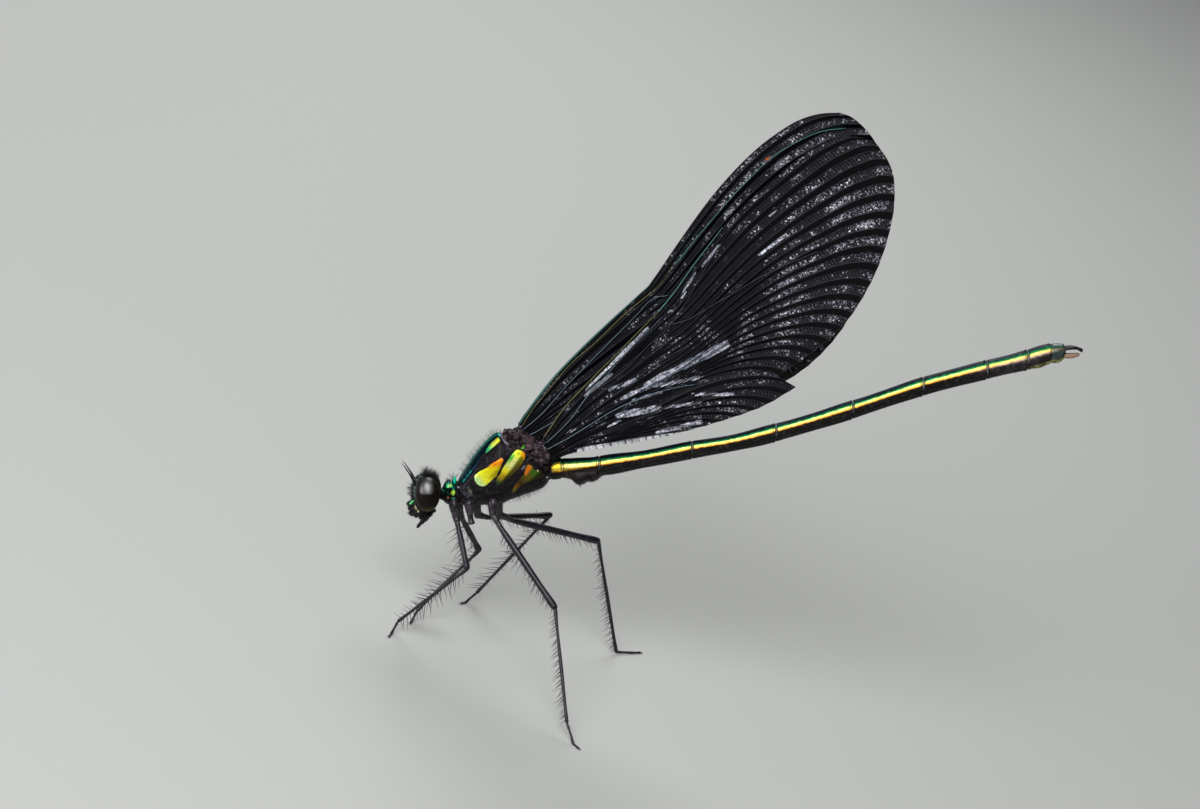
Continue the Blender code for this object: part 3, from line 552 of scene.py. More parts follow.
def vein_ridge(line, first_half, last_half, plane, sheet, depth):
    """A closed ridge along a line in the wing's plane, proud of the pleats on both sides.

    Its rings are ellipses, as high as the pleats are deep where it passes.
    """
    rows = curve_through(line, 64, 2)
    nearest = ((sheet.reshape(-1, 1, 2) - rows[None, ::4]) ** 2).sum(-1).argmin(0)
    high = np.interp(np.arange(64), np.arange(0, 64, 4), depth.ravel()[nearest]) + 0.10
    along = unit(np.gradient(rows, axis=0))
    half = 0.68 * np.linspace(first_half, last_half, 64) * (1.0 - 0.7 * np.linspace(0, 1, 64) ** 9)
    angle = np.linspace(0.0, 2.0 * math.pi, 8, endpoint=False)
    in_plane = half[:, None] * np.cos(angle)
    grid = np.stack([rows[:, :1] - along[:, 1:] * in_plane, plane + high[:, None] * np.sin(angle),
                     rows[:, 1:] + along[:, :1] * in_plane], axis=-1)
    return close_tube(grid)


def make_wing(name, outline, drop, stout_veins):
    """A pleated sheet a little thicker at its veins, closed round its border.

    Its offset from the wing's plane is the pleat's depth times a zigzag of 17 pleats near the
    root that turns to 51 towards the margin, and small random steps crinkle every second one.
    """
    def dropped(places):
        offset = np.asarray(places, float) - outline["leading"][0]
        turned = [offset[..., 0] * math.cos(drop) + offset[..., 1] * math.sin(drop),
                  offset[..., 1] * math.cos(drop) - offset[..., 0] * math.sin(drop)]
        return outline["leading"][0] + np.stack(turned, axis=-1)

    sheet = dropped(wing_sheet(outline, WING_LINES, WING_STATIONS))
    u = np.broadcast_to(np.linspace(0.0, 1.0, WING_STATIONS)[None, :], sheet.shape[:2])
    pleat = np.broadcast_to(
        np.linspace(0.0, WING_PLEATS, WING_LINES)[:, None], sheet.shape[:2])
    width = np.linalg.norm(np.gradient(sheet, axis=0), axis=-1) * LINES_PER_PLEAT
    spread = smoothstep(0.22, 0.55, u)
    depth = np.minimum(PLEAT_DEPTH, 0.30 * width * (3.0 - 2.0 * spread))
    zigzag = (1 - spread) * fold(pleat / 3.0) + spread * fold(pleat)
    rising = np.where(spread > 0.5, np.mod(pleat, 2.0) < 1.0, np.mod(pleat / 3.0, 2.0) < 1.0)
    nearest = np.abs(pleat - np.round(pleat)) * width
    coarse = np.abs(pleat / 3.0 - np.round(pleat / 3.0)) * 3.0 * width
    vein = np.maximum(np.exp(-(nearest / 0.07) ** 2) * smoothstep(0.30, 0.5, u),
                      np.exp(-(coarse / 0.08) ** 2))
    crinkle = rising * smoothstep(0.06, 0.16, u) * (1 - 0.8 * vein)
    jitter = dice.normal(0.0, 1.0, sheet.shape[:2]) * 0.016 * crinkle
    border = np.minimum(pleat, WING_PLEATS - pleat) * width
    rim = np.exp(-(border / 0.10) ** 2) + np.exp(-(((1 - u) * 26.0) / 0.10) ** 2)
    half = 0.028 + 0.030 * vein + 0.03 * np.clip(rim, 0, 1)
    middle = WING_PLANES[name] - depth * zigzag + jitter
    sides = [np.stack([sheet[..., 0], middle + side * half, sheet[..., 1]], axis=-1)
             for side in (-1, 1)]
    points = np.concatenate([side.reshape(-1, 3) for side in sides])
    count = WING_LINES * WING_STATIONS
    quads = grid_quads(WING_LINES, WING_STATIONS)
    number = np.arange(count).reshape(WING_LINES, WING_STATIONS)
    border_line = np.concatenate([number[0], number[1:, -1], number[-1, -2::-1],
                                  number[-2:0:-1, 0]])
    following = np.roll(border_line, -1)
    strip = np.stack([border_line, border_line + count, following + count, following], axis=1)
    faces = outward(points, [np.concatenate([quads, quads[:, ::-1] + count, strip[:, ::-1]])])
    reflection_streak = np.zeros(sheet.shape[:2])
    for start, end, half_width in REFLECTION_STREAKS:
        reflection_streak = np.maximum(reflection_streak, streak(sheet, start, end, half_width))
    to_rear = np.linalg.norm(np.diff(sheet, axis=0, append=sheet[-1:]), axis=-1)
    to_rear = to_rear[::-1].cumsum(axis=0)[::-1]
    # The ladder band along the hindwings' rear edge carries a painted reflection.
    in_ladder = smoothstep(5.0, 6.2, sheet[..., 0]) * smoothstep(16.5, 12.4, sheet[..., 0])
    in_ladder = in_ladder * smoothstep(1.10, 0.45, to_rear) * name.startswith("hindwing")
    values = {
        "ladder": in_ladder, "outer": smoothstep(0.5, 0.92, u),
        "crinkle": crinkle, "reflection_streak": reflection_streak * (1 - vein), "pleat": pleat, "pleat_mm": width,
        "spread": smoothstep(0.3, 0.5, u),
        "along_mm": np.linalg.norm(np.gradient(sheet, axis=1), axis=-1).cumsum(axis=1),
        "brown": smoothstep(0.86, 1.0, u) * (pleat > 26) * (name == "hindwing_right"),
        "orange": streak(sheet, (20.84, 26.77), (20.93, 26.85), 0.09),
        "stout_vein": np.zeros(sheet.shape[:2]),
    }
    values = {label: np.tile(numbers.ravel(), 2) for label, numbers in values.items()}
    values["vein_tint"] = np.zeros((2 * count, 3))
    parts = [(points, faces, values)]
    for tint, first_half, last_half, line in stout_veins:
        points, faces = vein_ridge(dropped(line), first_half, last_half, WING_PLANES[name],
                                   sheet, depth)
        blank = {label: np.zeros(len(points)) for label in values}
        blank["stout_vein"] = np.ones(len(points))
        blank["vein_tint"] = np.broadcast_to(tint, (len(points), 3))
        parts.append((points, faces, blank))
    firsts = np.cumsum([0] + [len(part[0]) for part in parts])
    return new_piece(
        name + "_sheet", np.concatenate([part[0] for part in parts]),
        [group + first for part, first in zip(parts, firsts) for group in part[1]],
        wing_membrane, "wing_membrane", [name],
        {label: np.concatenate([part[2][label] for part in parts]) for label in values})


make_wing("forewing_left", FOREWING, 0.0, FORE_VEINS)
make_wing("forewing_right", FOREWING, FAR_WING_DROP, FORE_VEINS)
make_wing("hindwing_left", HINDWING, 0.0, HIND_VEINS)
make_wing("hindwing_right", HINDWING_SMOOTH, 0.0, HIND_VEINS)


# Thorax, prothorax and abdomen
# One hard skin runs from the neck to the tail. Its side plates meet in sunk dark sutures and
# shine yellow-green with painted highlights, as does the prothorax, the front of the back is deep
# teal, the wing roots are dull brown with painted highlights on their lumps and painted shade in
# their hollows, and the abdomen's rings are green above a painted gold highlight stripe and black
# below it, the black partly painted shade.
BODY_SIDES = 144
NECK_START, ABDOMEN_START, TAIL_END = -5.95, 3.36, 45.60
# Place along X, bottom, top and half width
FRONT_ROWS = [
    (-5.95, -1.45, -0.92, 0.22), (-5.75, -1.62, -0.86, 0.36), (-5.55, -1.72, -0.56, 0.54),
    (-5.36, -1.90, -0.20, 0.90), (-5.14, -2.02, -0.02, 1.06), (-4.96, -2.04, -0.04, 1.06),
    (-4.85, -2.02, -0.20, 0.98), (-4.72, -2.06, 0.12, 1.08), (-4.58, -2.08, 0.33, 1.12),
    (-4.47, -2.04, 0.24, 1.02), (-4.38, -1.95, -0.12, 0.92), (-4.30, -1.90, -0.10, 0.92),
    (-4.18, -1.96, 0.24, 1.10), (-3.90, -2.06, 0.70, 1.28), (-3.54, -2.10, 1.25, 1.45),
    (-2.91, -2.08, 2.16, 1.62), (-2.30, -2.05, 2.92, 1.76), (-1.58, -2.03, 3.62, 1.84),
    (-0.92, -1.95, 3.98, 1.88), (-0.68, -1.90, 3.92, 1.88), (-0.45, -1.84, 4.16, 1.88),
    (-0.11, -1.66, 4.32, 1.87), (0.25, -1.54, 4.24, 1.86), (0.75, -1.34, 4.02, 1.84),
    (1.20, -1.16, 3.76, 1.80), (1.80, -0.96, 3.36, 1.74), (2.40, -0.74, 2.92, 1.62),
    (2.80, -0.54, 2.58, 1.44), (3.05, -0.28, 2.28, 1.22), (3.22, -0.02, 2.02, 1.00),
    (3.36, 0.10, 1.86, 0.87),
]
ABDOMEN_LINE = [
    (3.2, 0.95), (7.3, 1.20), (11.1, 1.77), (15.0, 2.54), (18.4, 3.14), (21.9, 4.01),
    (28.2, 5.94), (34.0, 7.90), (39.2, 9.30), (42.6, 10.15), (44.4, 10.66), (45.6, 10.84),
]
SEGMENT_ENDS = [3.45, 4.28, 7.34, 14.99, 21.90, 28.20, 33.96, 39.16, 42.50, 44.41, 45.60]
# Place along X and half height, three for each ring
ABDOMEN_RADII = [
    (3.36, 0.87), (3.75, 0.93), (4.20, 0.84), (4.40, 0.82), (5.80, 0.80), (7.20, 0.79),
    (7.50, 0.82), (11.0, 0.72), (14.8, 0.74), (15.2, 0.73), (18.5, 0.68), (21.7, 0.75),
    (22.1, 0.73), (25.0, 0.71), (28.0, 0.75), (28.4, 0.73), (31.0, 0.71), (33.8, 0.76),
    (34.2, 0.75), (36.5, 0.75), (39.0, 0.78), (39.3, 0.77), (40.8, 0.76), (42.3, 0.82),
    (42.7, 0.82), (43.5, 0.84), (44.3, 0.80), (44.5, 0.77), (45.0, 0.72), (45.6, 0.60),
]
# Outlines of the shining plates and the small marks on the side, traced in the middle plane
PLATE_FRONT = [
    (-2.92, 0.55), (-2.86, 0.78), (-2.61, 1.00), (-2.28, 1.20), (-1.85, 1.45), (-1.52, 1.73),
    (-1.19, 1.95), (-0.86, 2.15), (-0.64, 2.26), (-0.53, 2.09), (-0.64, 1.84), (-0.78, 1.45),
    (-0.95, 1.11), (-1.11, 0.77), (-1.41, 0.49), (-1.63, 0.27), (-1.91, 0.02), (-2.18, -0.12),
    (-2.45, -0.10), (-2.70, 0.07), (-2.86, 0.27)]
PLATE_MIDDLE = [
    (-1.17, 0.34), (-1.03, 0.62), (-0.81, 0.90), (-0.54, 1.46), (-0.15, 2.02), (0.12, 2.47),
    (0.34, 2.75), (0.61, 2.89), (0.94, 2.83), (1.21, 2.64), (1.26, 2.44), (1.19, 2.13),
    (1.05, 1.85), (0.78, 1.51), (0.45, 1.12), (0.12, 0.79), (-0.21, 0.45), (-0.54, 0.17),
    (-0.81, -0.03), (-1.08, -0.03)]
PLATE_HIND = [
    (1.19, 0.89), (1.24, 1.22), (1.32, 1.56), (1.49, 1.70), (1.81, 1.62), (1.98, 1.28),
    (2.36, 1.22), (2.69, 1.00), (2.81, 0.76), (2.64, 0.61), (2.20, 0.46), (1.54, 0.24),
    (0.99, -0.04), (0.78, -0.15), (0.45, -0.60), (0.27, -0.71), (0.18, -0.57), (0.28, -0.24),
    (0.61, 0.21), (0.88, 0.61)]
PLATE_BACK = [
    (-3.88, 0.03), (-3.55, 0.33), (-3.22, 0.67), (-2.95, 1.06), (-2.84, 1.46), (-2.56, 1.85),
    (-2.29, 2.30), (-2.07, 2.55), (-1.74, 2.80), (-1.36, 3.08), (-0.97, 3.31), (-0.81, 3.53),
    (-0.81, 4.00), (-1.20, 5.00), (-4.60, 1.60), (-4.10, 0.10)]
# Each mark has its outline, its colour and how metallic it is
MARKS = [
    # The first mark is a painted green highlight; the streak set below recolours most of it.
    ([(-1.99, 2.55), (-1.90, 2.84), (-1.74, 3.06), (-1.52, 3.34), (-1.25, 3.57), (-0.97, 3.79),
      (-0.81, 3.71), (-0.82, 3.51), (-0.97, 3.34), (-1.25, 3.12), (-1.52, 2.92),
      (-1.74, 2.72)], (0.10, 0.62, 0.16), 0.5),
    ([(-0.92, 4.22), (-0.82, 4.22), (-0.48, 3.66), (-0.26, 3.50), (0.00, 3.34), (-0.04, 3.24),
      (-0.36, 3.38), (-0.60, 3.58)], (0.19, 0.18, 0.24), 0.1),
    ([(0.86, 3.03), (1.02, 3.12), (1.30, 3.50), (1.47, 3.52), (1.19, 3.09), (1.02, 2.96)],
     (0.13, 0.55, 0.02), 0.6),
    ([(2.21, 1.16), (2.26, 1.24), (2.34, 1.22), (2.36, 1.12), (2.28, 1.08)],
     (0.85, 0.50, 0.35), 0.1),
    ([(2.97, 0.47), (3.02, 0.57), (3.12, 0.55), (3.14, 0.44), (3.05, 0.40)],
     (0.70, 0.68, 0.72), 0.1),
    ([(1.27, 1.78), (1.02, 1.50), (0.89, 1.22), (1.06, 1.24), (1.26, 1.55)],
     (0.16, 0.15, 0.20), 0.2),
    ([(3.38, 1.20), (3.66, 1.60), (4.14, 1.68), (4.22, 0.92), (3.80, 0.94)],
     (0.90, 0.66, 0.05), 0.5),
    # The next three marks are painted highlights on the prothorax's front dome and side bulge.
    ([(-5.28, -0.40), (-5.22, -0.14), (-4.96, -0.12), (-4.74, -0.30), (-4.58, -0.56),
      (-4.66, -0.62), (-4.82, -0.46), (-4.98, -0.42)], (0.03, 0.95, 0.30), 0.2),
    ([(-5.14, -0.38), (-5.08, -0.22), (-4.94, -0.22), (-4.76, -0.40), (-4.66, -0.54),
      (-4.80, -0.44), (-4.98, -0.38)], (0.86, 1.00, 0.42), 0.1),
    ([(-4.89, -0.88), (-4.75, -0.64), (-4.56, -0.57), (-4.46, -0.79), (-4.57, -1.01),
      (-4.78, -1.05)], (0.66, 0.98, 0.10), 0.2),
    ([(-4.82, -1.38), (-4.71, -1.24), (-4.46, -1.24), (-4.60, -1.42)], (0.03, 0.50, 0.34), 0.5),
    ([(-5.67, -0.73), (-5.54, -0.66), (-5.40, -0.73), (-5.40, -0.81), (-5.62, -0.81)],
     (0.04, 0.55, 0.18), 0.5),
    ([(-4.74, 0.10), (-4.64, 0.44), (-4.42, 0.36), (-4.38, 0.03), (-4.50, -0.12),
      (-4.66, 0.00)], (0.00, 0.90, 0.55), 0.3),
    ([(-4.33, -0.40), (-4.28, -0.34), (-4.20, -0.36), (-4.18, -0.45), (-4.26, -0.50)],
     (0.85, 0.84, 0.90), 0.0),
    ([(-5.18, -1.20), (-5.08, -1.15), (-5.02, -1.28), (-5.12, -1.34)], (0.42, 0.20, 0.05), 0.3),
]


def blade(x, z, start, end, first_radius, last_radius):
    """Distance past a tapering stroke with round ends, and the share of the way along it.

    It is the distance to the stroke's middle line less a radius that changes evenly.
    """
    line = np.subtract(end, start)
    t = np.clip(((x - start[0]) * line[0] + (z - start[1]) * line[1]) / (line @ line), 0.0, 1.0)
    distance = np.hypot(x - start[0] - t * line[0], z - start[1] - t * line[1])
    return distance - first_radius - t * (last_radius - first_radius), t


def outline_distance(x, z, corners):
    """Distance to a closed outline, negative inside it.

    It is the distance to the nearest side, and a place is inside where a ray from it crosses
    an odd number of sides.
    """
    nearest, crossings = np.full(np.shape(x), 99.0), np.zeros(np.shape(x), bool)
    for (x_0, z_0), (x_1, z_1) in zip(corners, corners[1:] + corners[:1]):
        nearest = np.minimum(nearest, blade(x, z, (x_0, z_0), (x_1, z_1), 0.0, 0.0)[0])
        level = (z_0 > z) != (z_1 > z)
        rise = (z_1 - z_0) if z_1 != z_0 else 1.0
        crossings ^= level & (x < x_0 + (z - z_0) * (x_1 - x_0) / rise)
    return np.where(crossings, -nearest, nearest)


def chain_distance(x, z, points):
    """Distance to the nearest of the straight pieces between the points."""
    nearest = np.full(np.shape(x), 99.0)
    for start, end in zip(points, points[1:]):
        nearest = np.minimum(nearest, blade(x, z, start, end, 0.0, 0.0)[0])
    return nearest


def inside(distance, soft):
    """1 well within an outline and 0 outside it, with a soft edge."""
    return 1.0 - smoothstep(-soft, soft, distance)


def hump(value, width):
    """A rounded rise of height 1 that fades within about twice its width."""
    return np.exp(-(value / width) ** 2)


def layer(under, share, over):
    """The upper colour laid over the lower by its share at each point."""
    return under * (1.0 - share[..., None]) + over * share[..., None]


def ribbons(value, stops):
    """Colours that change smoothly from stop to stop of the value."""
    colour = np.broadcast_to(np.array(stops[0][1]), value.shape + (3,))
    for (low, _), (high, following) in zip(stops, stops[1:]):
        colour = layer(colour, smoothstep(low, high, value), np.array(following))
    return colour


HUMERAL = [(-4.05, -0.15), (-3.84, 0.07), (-2.97, 1.25), (-2.25, 2.20), (-1.42, 3.04), (-0.81, 3.67)]
SIDE_SUTURES = [
    HUMERAL, [(-1.22, 0.34), (-0.91, 0.86), (-0.40, 1.91), (0.42, 2.86)],
    [(-0.55, -0.19), (0.63, 1.34), (1.65, 2.40)],
    [(-4.10, -1.05), (-2.60, -0.75), (-0.55, -0.45), (0.30, -0.85), (1.60, -0.35), (2.95, 0.25)],
    [(-2.60, -0.75), (-2.45, -1.90)], [(-0.45, -0.50), (-0.20, -1.60)],
]
WING_ROOT_EDGE = [(-0.95, 4.10), (-0.81, 3.95), (-0.65, 3.72), (-0.14, 3.27), (0.42, 2.94),
                  (1.14, 2.80), (1.65, 2.11), (2.30, 1.62), (2.93, 1.17), (3.30, 0.95)]

joints = np.array(SEGMENT_ENDS[1:-1])
body_x = np.concatenate([np.linspace(NECK_START, ABDOMEN_START, 178),
                         np.linspace(ABDOMEN_START, TAIL_END, 262)[1:],
                         (joints[:, None] + np.linspace(-0.28, 0.24, 12)).ravel()])
body_x = np.unique(np.round(body_x, 4))
abdomen_line = curve_through(ABDOMEN_LINE, 400, 2)
radii = hermite(np.array(ABDOMEN_RADII), np.array(ABDOMEN_RADII)[:, 0], body_x)[:, 1]
to_joint = body_x[:, None] - joints
radii = radii * (1.0 - (0.07 * hump(to_joint, 0.06)).sum(1) + (0.05 * hump(to_joint + 0.14, 0.09)).sum(1))
radii = radii * np.sqrt(np.clip((TAIL_END + 0.12 - body_x) / 0.3, 0.0, 1.0))
front = hermite(np.array(FRONT_ROWS), np.array(FRONT_ROWS)[:, 0], body_x)
axis = np.interp(body_x, abdomen_line[:, 0], abdomen_line[:, 1])
slope = np.gradient(axis, body_x)
in_abdomen = body_x > ABDOMEN_START
bottom = np.where(in_abdomen, axis - radii * np.hypot(1.0, slope), front[:, 1])
top = np.where(in_abdomen, axis + radii * np.hypot(1.0, slope), front[:, 2])
half_width = np.where(in_abdomen, radii, front[:, 3])

turn = np.linspace(0.0, 2.0 * math.pi, BODY_SIDES, endpoint=False)[None, :] - math.pi / 2
lift, side = np.sin(turn), np.cos(turn)
place_x = np.repeat(body_x[:, None], BODY_SIDES, axis=1)
roundness = np.interp(body_x, (-4.4, -3.6, 2.6, 3.4), (1.0, 2.0 / 2.3, 2.0 / 2.3, 1.0))[:, None]
wide = np.sign(side) * np.abs(side) ** roundness
high = np.sign(lift) * np.abs(lift) ** roundness
slant = smoothstep(-4.4, -3.4, place_x) * (1.0 - smoothstep(-1.3, -0.3, place_x))
wide = wide * (1.0 - 0.20 * slant * smoothstep(0.1, 1.0, lift))
middle = 0.5 * (bottom + top)[:, None]
place_y = half_width[:, None] * wide
place_z = middle + 0.5 * (top - bottom)[:, None] * high

on_thorax = 1.0 - smoothstep(3.1, 3.4, place_x)
on_side = smoothstep(0.25, 0.6, np.abs(place_y)) * on_thorax * (place_x > -4.2)
wobble = 0.03 * np.sin(31.0 * place_x + 17.0 * place_z) * np.sin(23.0 * place_z - 9.0 * place_x)
plates = [outline_distance(place_x, place_z, corners)
          for corners in (PLATE_FRONT, PLATE_MIDDLE, PLATE_HIND, PLATE_BACK)]
plates[3] = np.maximum(plates[3], place_x + 0.82)
wing_root = smoothstep(0.0, 0.15, place_z - np.interp(place_x, *np.array(WING_ROOT_EDGE).T))
wing_root = wing_root * smoothstep(-0.95, -0.80, place_x) * on_thorax
swell = 0.05 * sum(inside(plate, 0.13) for plate in plates[:3]) * on_side
for suture in SIDE_SUTURES:
    swell = swell - 0.06 * hump(chain_distance(place_x, place_z, suture), 0.05) * on_side
swell = swell + 0.07 * hump(place_y, 0.07) * slant * (lift > 0)
root_relief = np.zeros(place_x.shape)
for lump in range(230):
    lump_x, lump_turn = dice.uniform(-0.8, 3.2), dice.uniform(0.30, 1.45)
    near = hump(place_x - lump_x, dice.uniform(0.06, 0.18))
    near = near * hump(np.arcsin(np.clip(lift, -1, 1)) - lump_turn, dice.uniform(0.04, 0.12))
    root_relief = root_relief + dice.uniform(-0.13, 0.14) * near
swell = swell + root_relief * wing_root
belly = smoothstep(0.25, 0.8, -lift)
swell = swell + belly * (0.10 * hump(place_x - 43.6, 0.45) + 0.16 * hump(place_x - 45.0, 0.40))
swell = swell + belly * (0.66 * hump(place_x - 5.72, 0.62) + 0.46 * hump(place_x - 6.85, 0.52)
                         + 0.10 * hump(place_x - 5.80, 0.10) + 0.06 * hump(place_x - 7.35, 0.14))
hump_relief = np.zeros(place_x.shape)
for lump in range(70):
    near = hump(place_x - dice.uniform(4.5, 7.9), dice.uniform(0.07, 0.20))
    near = near * hump(np.sin(turn + math.pi / 2) - dice.uniform(-0.9, 0.9), dice.uniform(0.10, 0.25))
    hump_relief = hump_relief + dice.uniform(-0.07, 0.08) * near
swell = swell + hump_relief * belly
crease = hump(lift + 0.62, 0.10) * smoothstep(3.3, 4.4, place_x)
swell = swell - 0.035 * crease * (1 - belly * hump(place_x - 6.1, 1.0))
swell = swell + 0.10 * hump(place_x + 5.12, 0.14) * hump(lift - 0.45, 0.35)
swell = swell + 0.06 * hump(place_x + 4.60, 0.07) * hump(lift - 0.30, 0.5)
swell = swell - 0.08 * hump(place_x + 4.85, 0.06)
swell = swell + 0.15 * hump(place_x + 4.66, 0.17) * hump(place_z + 0.80, 0.24) * (lift < 0.35)
swell = swell + 0.10 * hump(place_x + 5.10, 0.26) * hump(place_z + 0.28, 0.22)
swell = swell - 0.12 * hump(chain_distance(place_x, place_z, [(-5.30, -0.70), (-4.92, -0.60),
                                                             (-4.68, -0.50)]), 0.07)
outward_y, outward_z = place_y, (place_z - middle)
reach = np.maximum(np.hypot(outward_y, outward_z), 1e-6)
place_y = place_y + swell * outward_y / reach
place_z = place_z + swell * outward_z / reach

base_tint = np.broadcast_to(np.array([0.008, 0.0065, 0.008]), place_x.shape + (3,))
neck = smoothstep(-5.7, -5.4, place_x) * (1 - smoothstep(-4.44, -4.36, place_x))
base_tint = layer(base_tint, neck * smoothstep(-0.1, 0.3, lift), np.array([0.0, 0.075, 0.070]))
base_tint = layer(base_tint, neck * smoothstep(0.0, -0.4, lift), np.array([0.020, 0.013, 0.015]))
neck_pit = inside(blade(place_x, place_z, (-5.20, -0.62), (-4.94, -0.74), 0.09, 0.12)[0], 0.07)
base_tint = layer(base_tint, neck_pit * neck, np.array([0.002, 0.002, 0.003]))
front_side = inside(blade(place_x, place_z, (-3.75, -0.35), (-3.2, -1.0), 0.35, 0.30)[0], 0.2)
base_tint = layer(base_tint, 0.6 * front_side * on_side, np.array([0.022, 0.026, 0.036]))
# The grey-blue haze and the two pale strokes inside it are a soft painted highlight on the front of the side; the
# last stroke is the brown plate edge above the middle hip.
for start, end, wide_spot, tint in (
        ((-3.95, -0.50), (-3.45, -0.95), 0.24, (0.060, 0.062, 0.082)),
        ((-3.42, -0.25), (-3.05, -1.00), 0.06, (0.210, 0.240, 0.200)),
        ((-3.44, -0.28), (-3.34, -0.55), 0.02, (0.640, 0.700, 0.400)),
        ((-3.90, -1.50), (-2.85, -1.36), 0.04, (0.090, 0.052, 0.058))):
    pale = inside(blade(place_x, place_z, start, end, wide_spot, wide_spot)[0], 0.13)
    base_tint = layer(base_tint, 0.8 * pale * on_side, np.array(tint))
# On the wing roots the raised lumps are painted pale as highlights and the hollows dark as shade.
root_tint = ribbons(root_relief, [(-0.08, (0.004, 0.003, 0.004)), (0.03, (0.040, 0.021, 0.026)),
                                  (0.16, (0.120, 0.078, 0.095))])
base_tint = layer(base_tint, wing_root, root_tint)
root_edge = hump(chain_distance(place_x, place_z, WING_ROOT_EDGE), 0.09) * on_side
base_tint = layer(base_tint, root_edge, np.array([0.001, 0.001, 0.0015]))


def along_axis(start, end):
    """The share of the way from start to end, and the distance to the upper left of it."""
    line = np.subtract(end, start)
    reach = np.hypot(*line)
    share = ((place_x - start[0]) * line[0] + (place_z - start[1]) * line[1]) / reach ** 2
    aside = ((place_z - start[1]) * line[0] - (place_x - start[0]) * line[1]) / reach
    return share, aside


# The lime-white start of the front plate's colours is a painted highlight.
share, aside = along_axis((-2.75, 0.25), (-0.58, 2.20))
front_tint = ribbons(share, [(0.00, (0.60, 0.90, 0.36)), (0.26, (0.94, 0.92, 0.03)),
                             (0.60, (0.96, 0.80, 0.01)), (1.1, (0.94, 0.64, 0.01))])
front_tint = layer(front_tint, smoothstep(0.52, 0.80, share + 0.45 * aside), np.array([0.90, 0.27, 0.01]))
front_tint = layer(front_tint, smoothstep(0.14, 0.46, -aside) * smoothstep(0.25, 0.5, share),
                   np.array([0.42, 0.36, 0.01]))
# The pale yellow-lime band along the middle of the middle plate is a painted highlight.
share, aside = along_axis((-0.95, 0.30), (0.85, 2.70))
middle_tint = ribbons(share, [(-0.05, (0.020, 0.050, 0.018)), (0.22, (0.50, 0.34, 0.01)),
                              (0.38, (0.96, 0.90, 0.03)), (0.62, (0.94, 1.00, 0.34)),
                              (0.95, (0.88, 0.92, 0.02))])
lower_tint = ribbons(share, [(0.10, (0.012, 0.022, 0.012)), (0.55, (0.100, 0.080, 0.008)),
                             (0.95, (0.20, 0.18, 0.012))])
below = smoothstep(0.10, 0.30, -aside)[..., None]
middle_tint = middle_tint * (1 - below) + lower_tint * below
upper_rim = smoothstep(0.14, 0.26, aside) * hump(share - 0.74, 0.20)
middle_tint = layer(middle_tint, upper_rim, np.array([0.04, 0.42, 0.03]))
middle_tint = layer(middle_tint, hump(share - 0.97, 0.06) * hump(aside - 0.05, 0.10),
                    np.array([0.16, 0.24, 0.02]))
middle_tint = layer(middle_tint, smoothstep(0.95, 1.04, share - 0.15 * aside)
                    * smoothstep(0.0, 0.16, -aside), np.array([0.92, 0.36, 0.01]))
share, aside = along_axis((0.30, -0.60), (2.30, 1.10))
hind_tint = ribbons(share, [(0.02, (0.16, 0.13, 0.012)), (0.20, (0.19, 0.070, 0.010)),
                            (0.35, (0.05, 0.035, 0.008)), (0.62, (0.11, 0.090, 0.010)),
                            (0.95, (0.05, 0.15, 0.015))])
hind_tint = layer(hind_tint, smoothstep(0.0, 0.24, -aside), np.array([0.022, 0.024, 0.006]))
orange_spot = inside(blade(place_x, place_z, (1.30, 0.98), (1.60, 1.48), 0.13, 0.20)[0], 0.12)
hind_tint = layer(hind_tint, orange_spot, np.array([0.82, 0.20, 0.015]))
back_tint = ribbons(lift, [(0.60, (0.0006, 0.015, 0.034)), (0.86, (0.0006, 0.026, 0.046)),
                           (0.955, (0.0, 0.040, 0.055)), (0.985, (0.0, 0.36, 0.27))])
for spot_x, spot_z, wide_spot in ((-3.78, 0.22, 0.16), (-3.55, 0.66, 0.10), (-3.30, 0.95, 0.13)):
    back_tint = layer(back_tint, 0.8 * hump(np.hypot(place_x - spot_x, place_z - spot_z), wide_spot),
                      np.array([0.0, 0.16, 0.15]))

nearest = np.argmin(plates, axis=0)[..., None]
patch_tint = np.select([nearest == 0, nearest == 1, nearest == 2],
                       [front_tint, middle_tint, hind_tint], back_tint)
patch_gap = np.where(nearest[..., 0] == 3, np.min(plates, axis=0),
                     np.maximum(np.min(plates, axis=0), 0.5 - np.abs(place_y)))
mark_gap, mark_tint = np.full(place_x.shape, 9.0), np.zeros(place_x.shape + (3,))
mark_metal = np.zeros(place_x.shape)
for corners, tint, metal in MARKS:
    gap = outline_distance(place_x, place_z, corners)
    wins = (gap < mark_gap) | (gap < 0.0)
    mark_tint = np.where(wins[..., None], np.array(tint), mark_tint)
    mark_metal = np.where(wins, metal, mark_metal)
    mark_gap = np.minimum(mark_gap, gap)
# Inside this circle the upper marks take the streak's colours, green through yellow to gold: a painted highlight on
# the upper front of the side.
streak_share = along_axis((-1.9, 2.6), (-0.9, 3.7))[0]
on_streak = (np.hypot(place_x + 1.4, place_z - 3.15) < 0.72)[..., None]
mark_tint = np.where(on_streak, ribbons(streak_share, [
    (0.10, (0.01, 0.62, 0.26)), (0.35, (0.30, 0.86, 0.20)), (0.55, (0.80, 0.92, 0.12)),
    (0.95, (0.90, 0.78, 0.03))]), mark_tint)

on_abdomen = smoothstep(3.35, 3.6, place_x)
grain = 0.03 * np.sin(47.0 * place_x) * np.sin(5.0 * turn + 3.0 * place_x)
height_share = lift + grain
faded = smoothstep(36.0, 42.5, place_x)
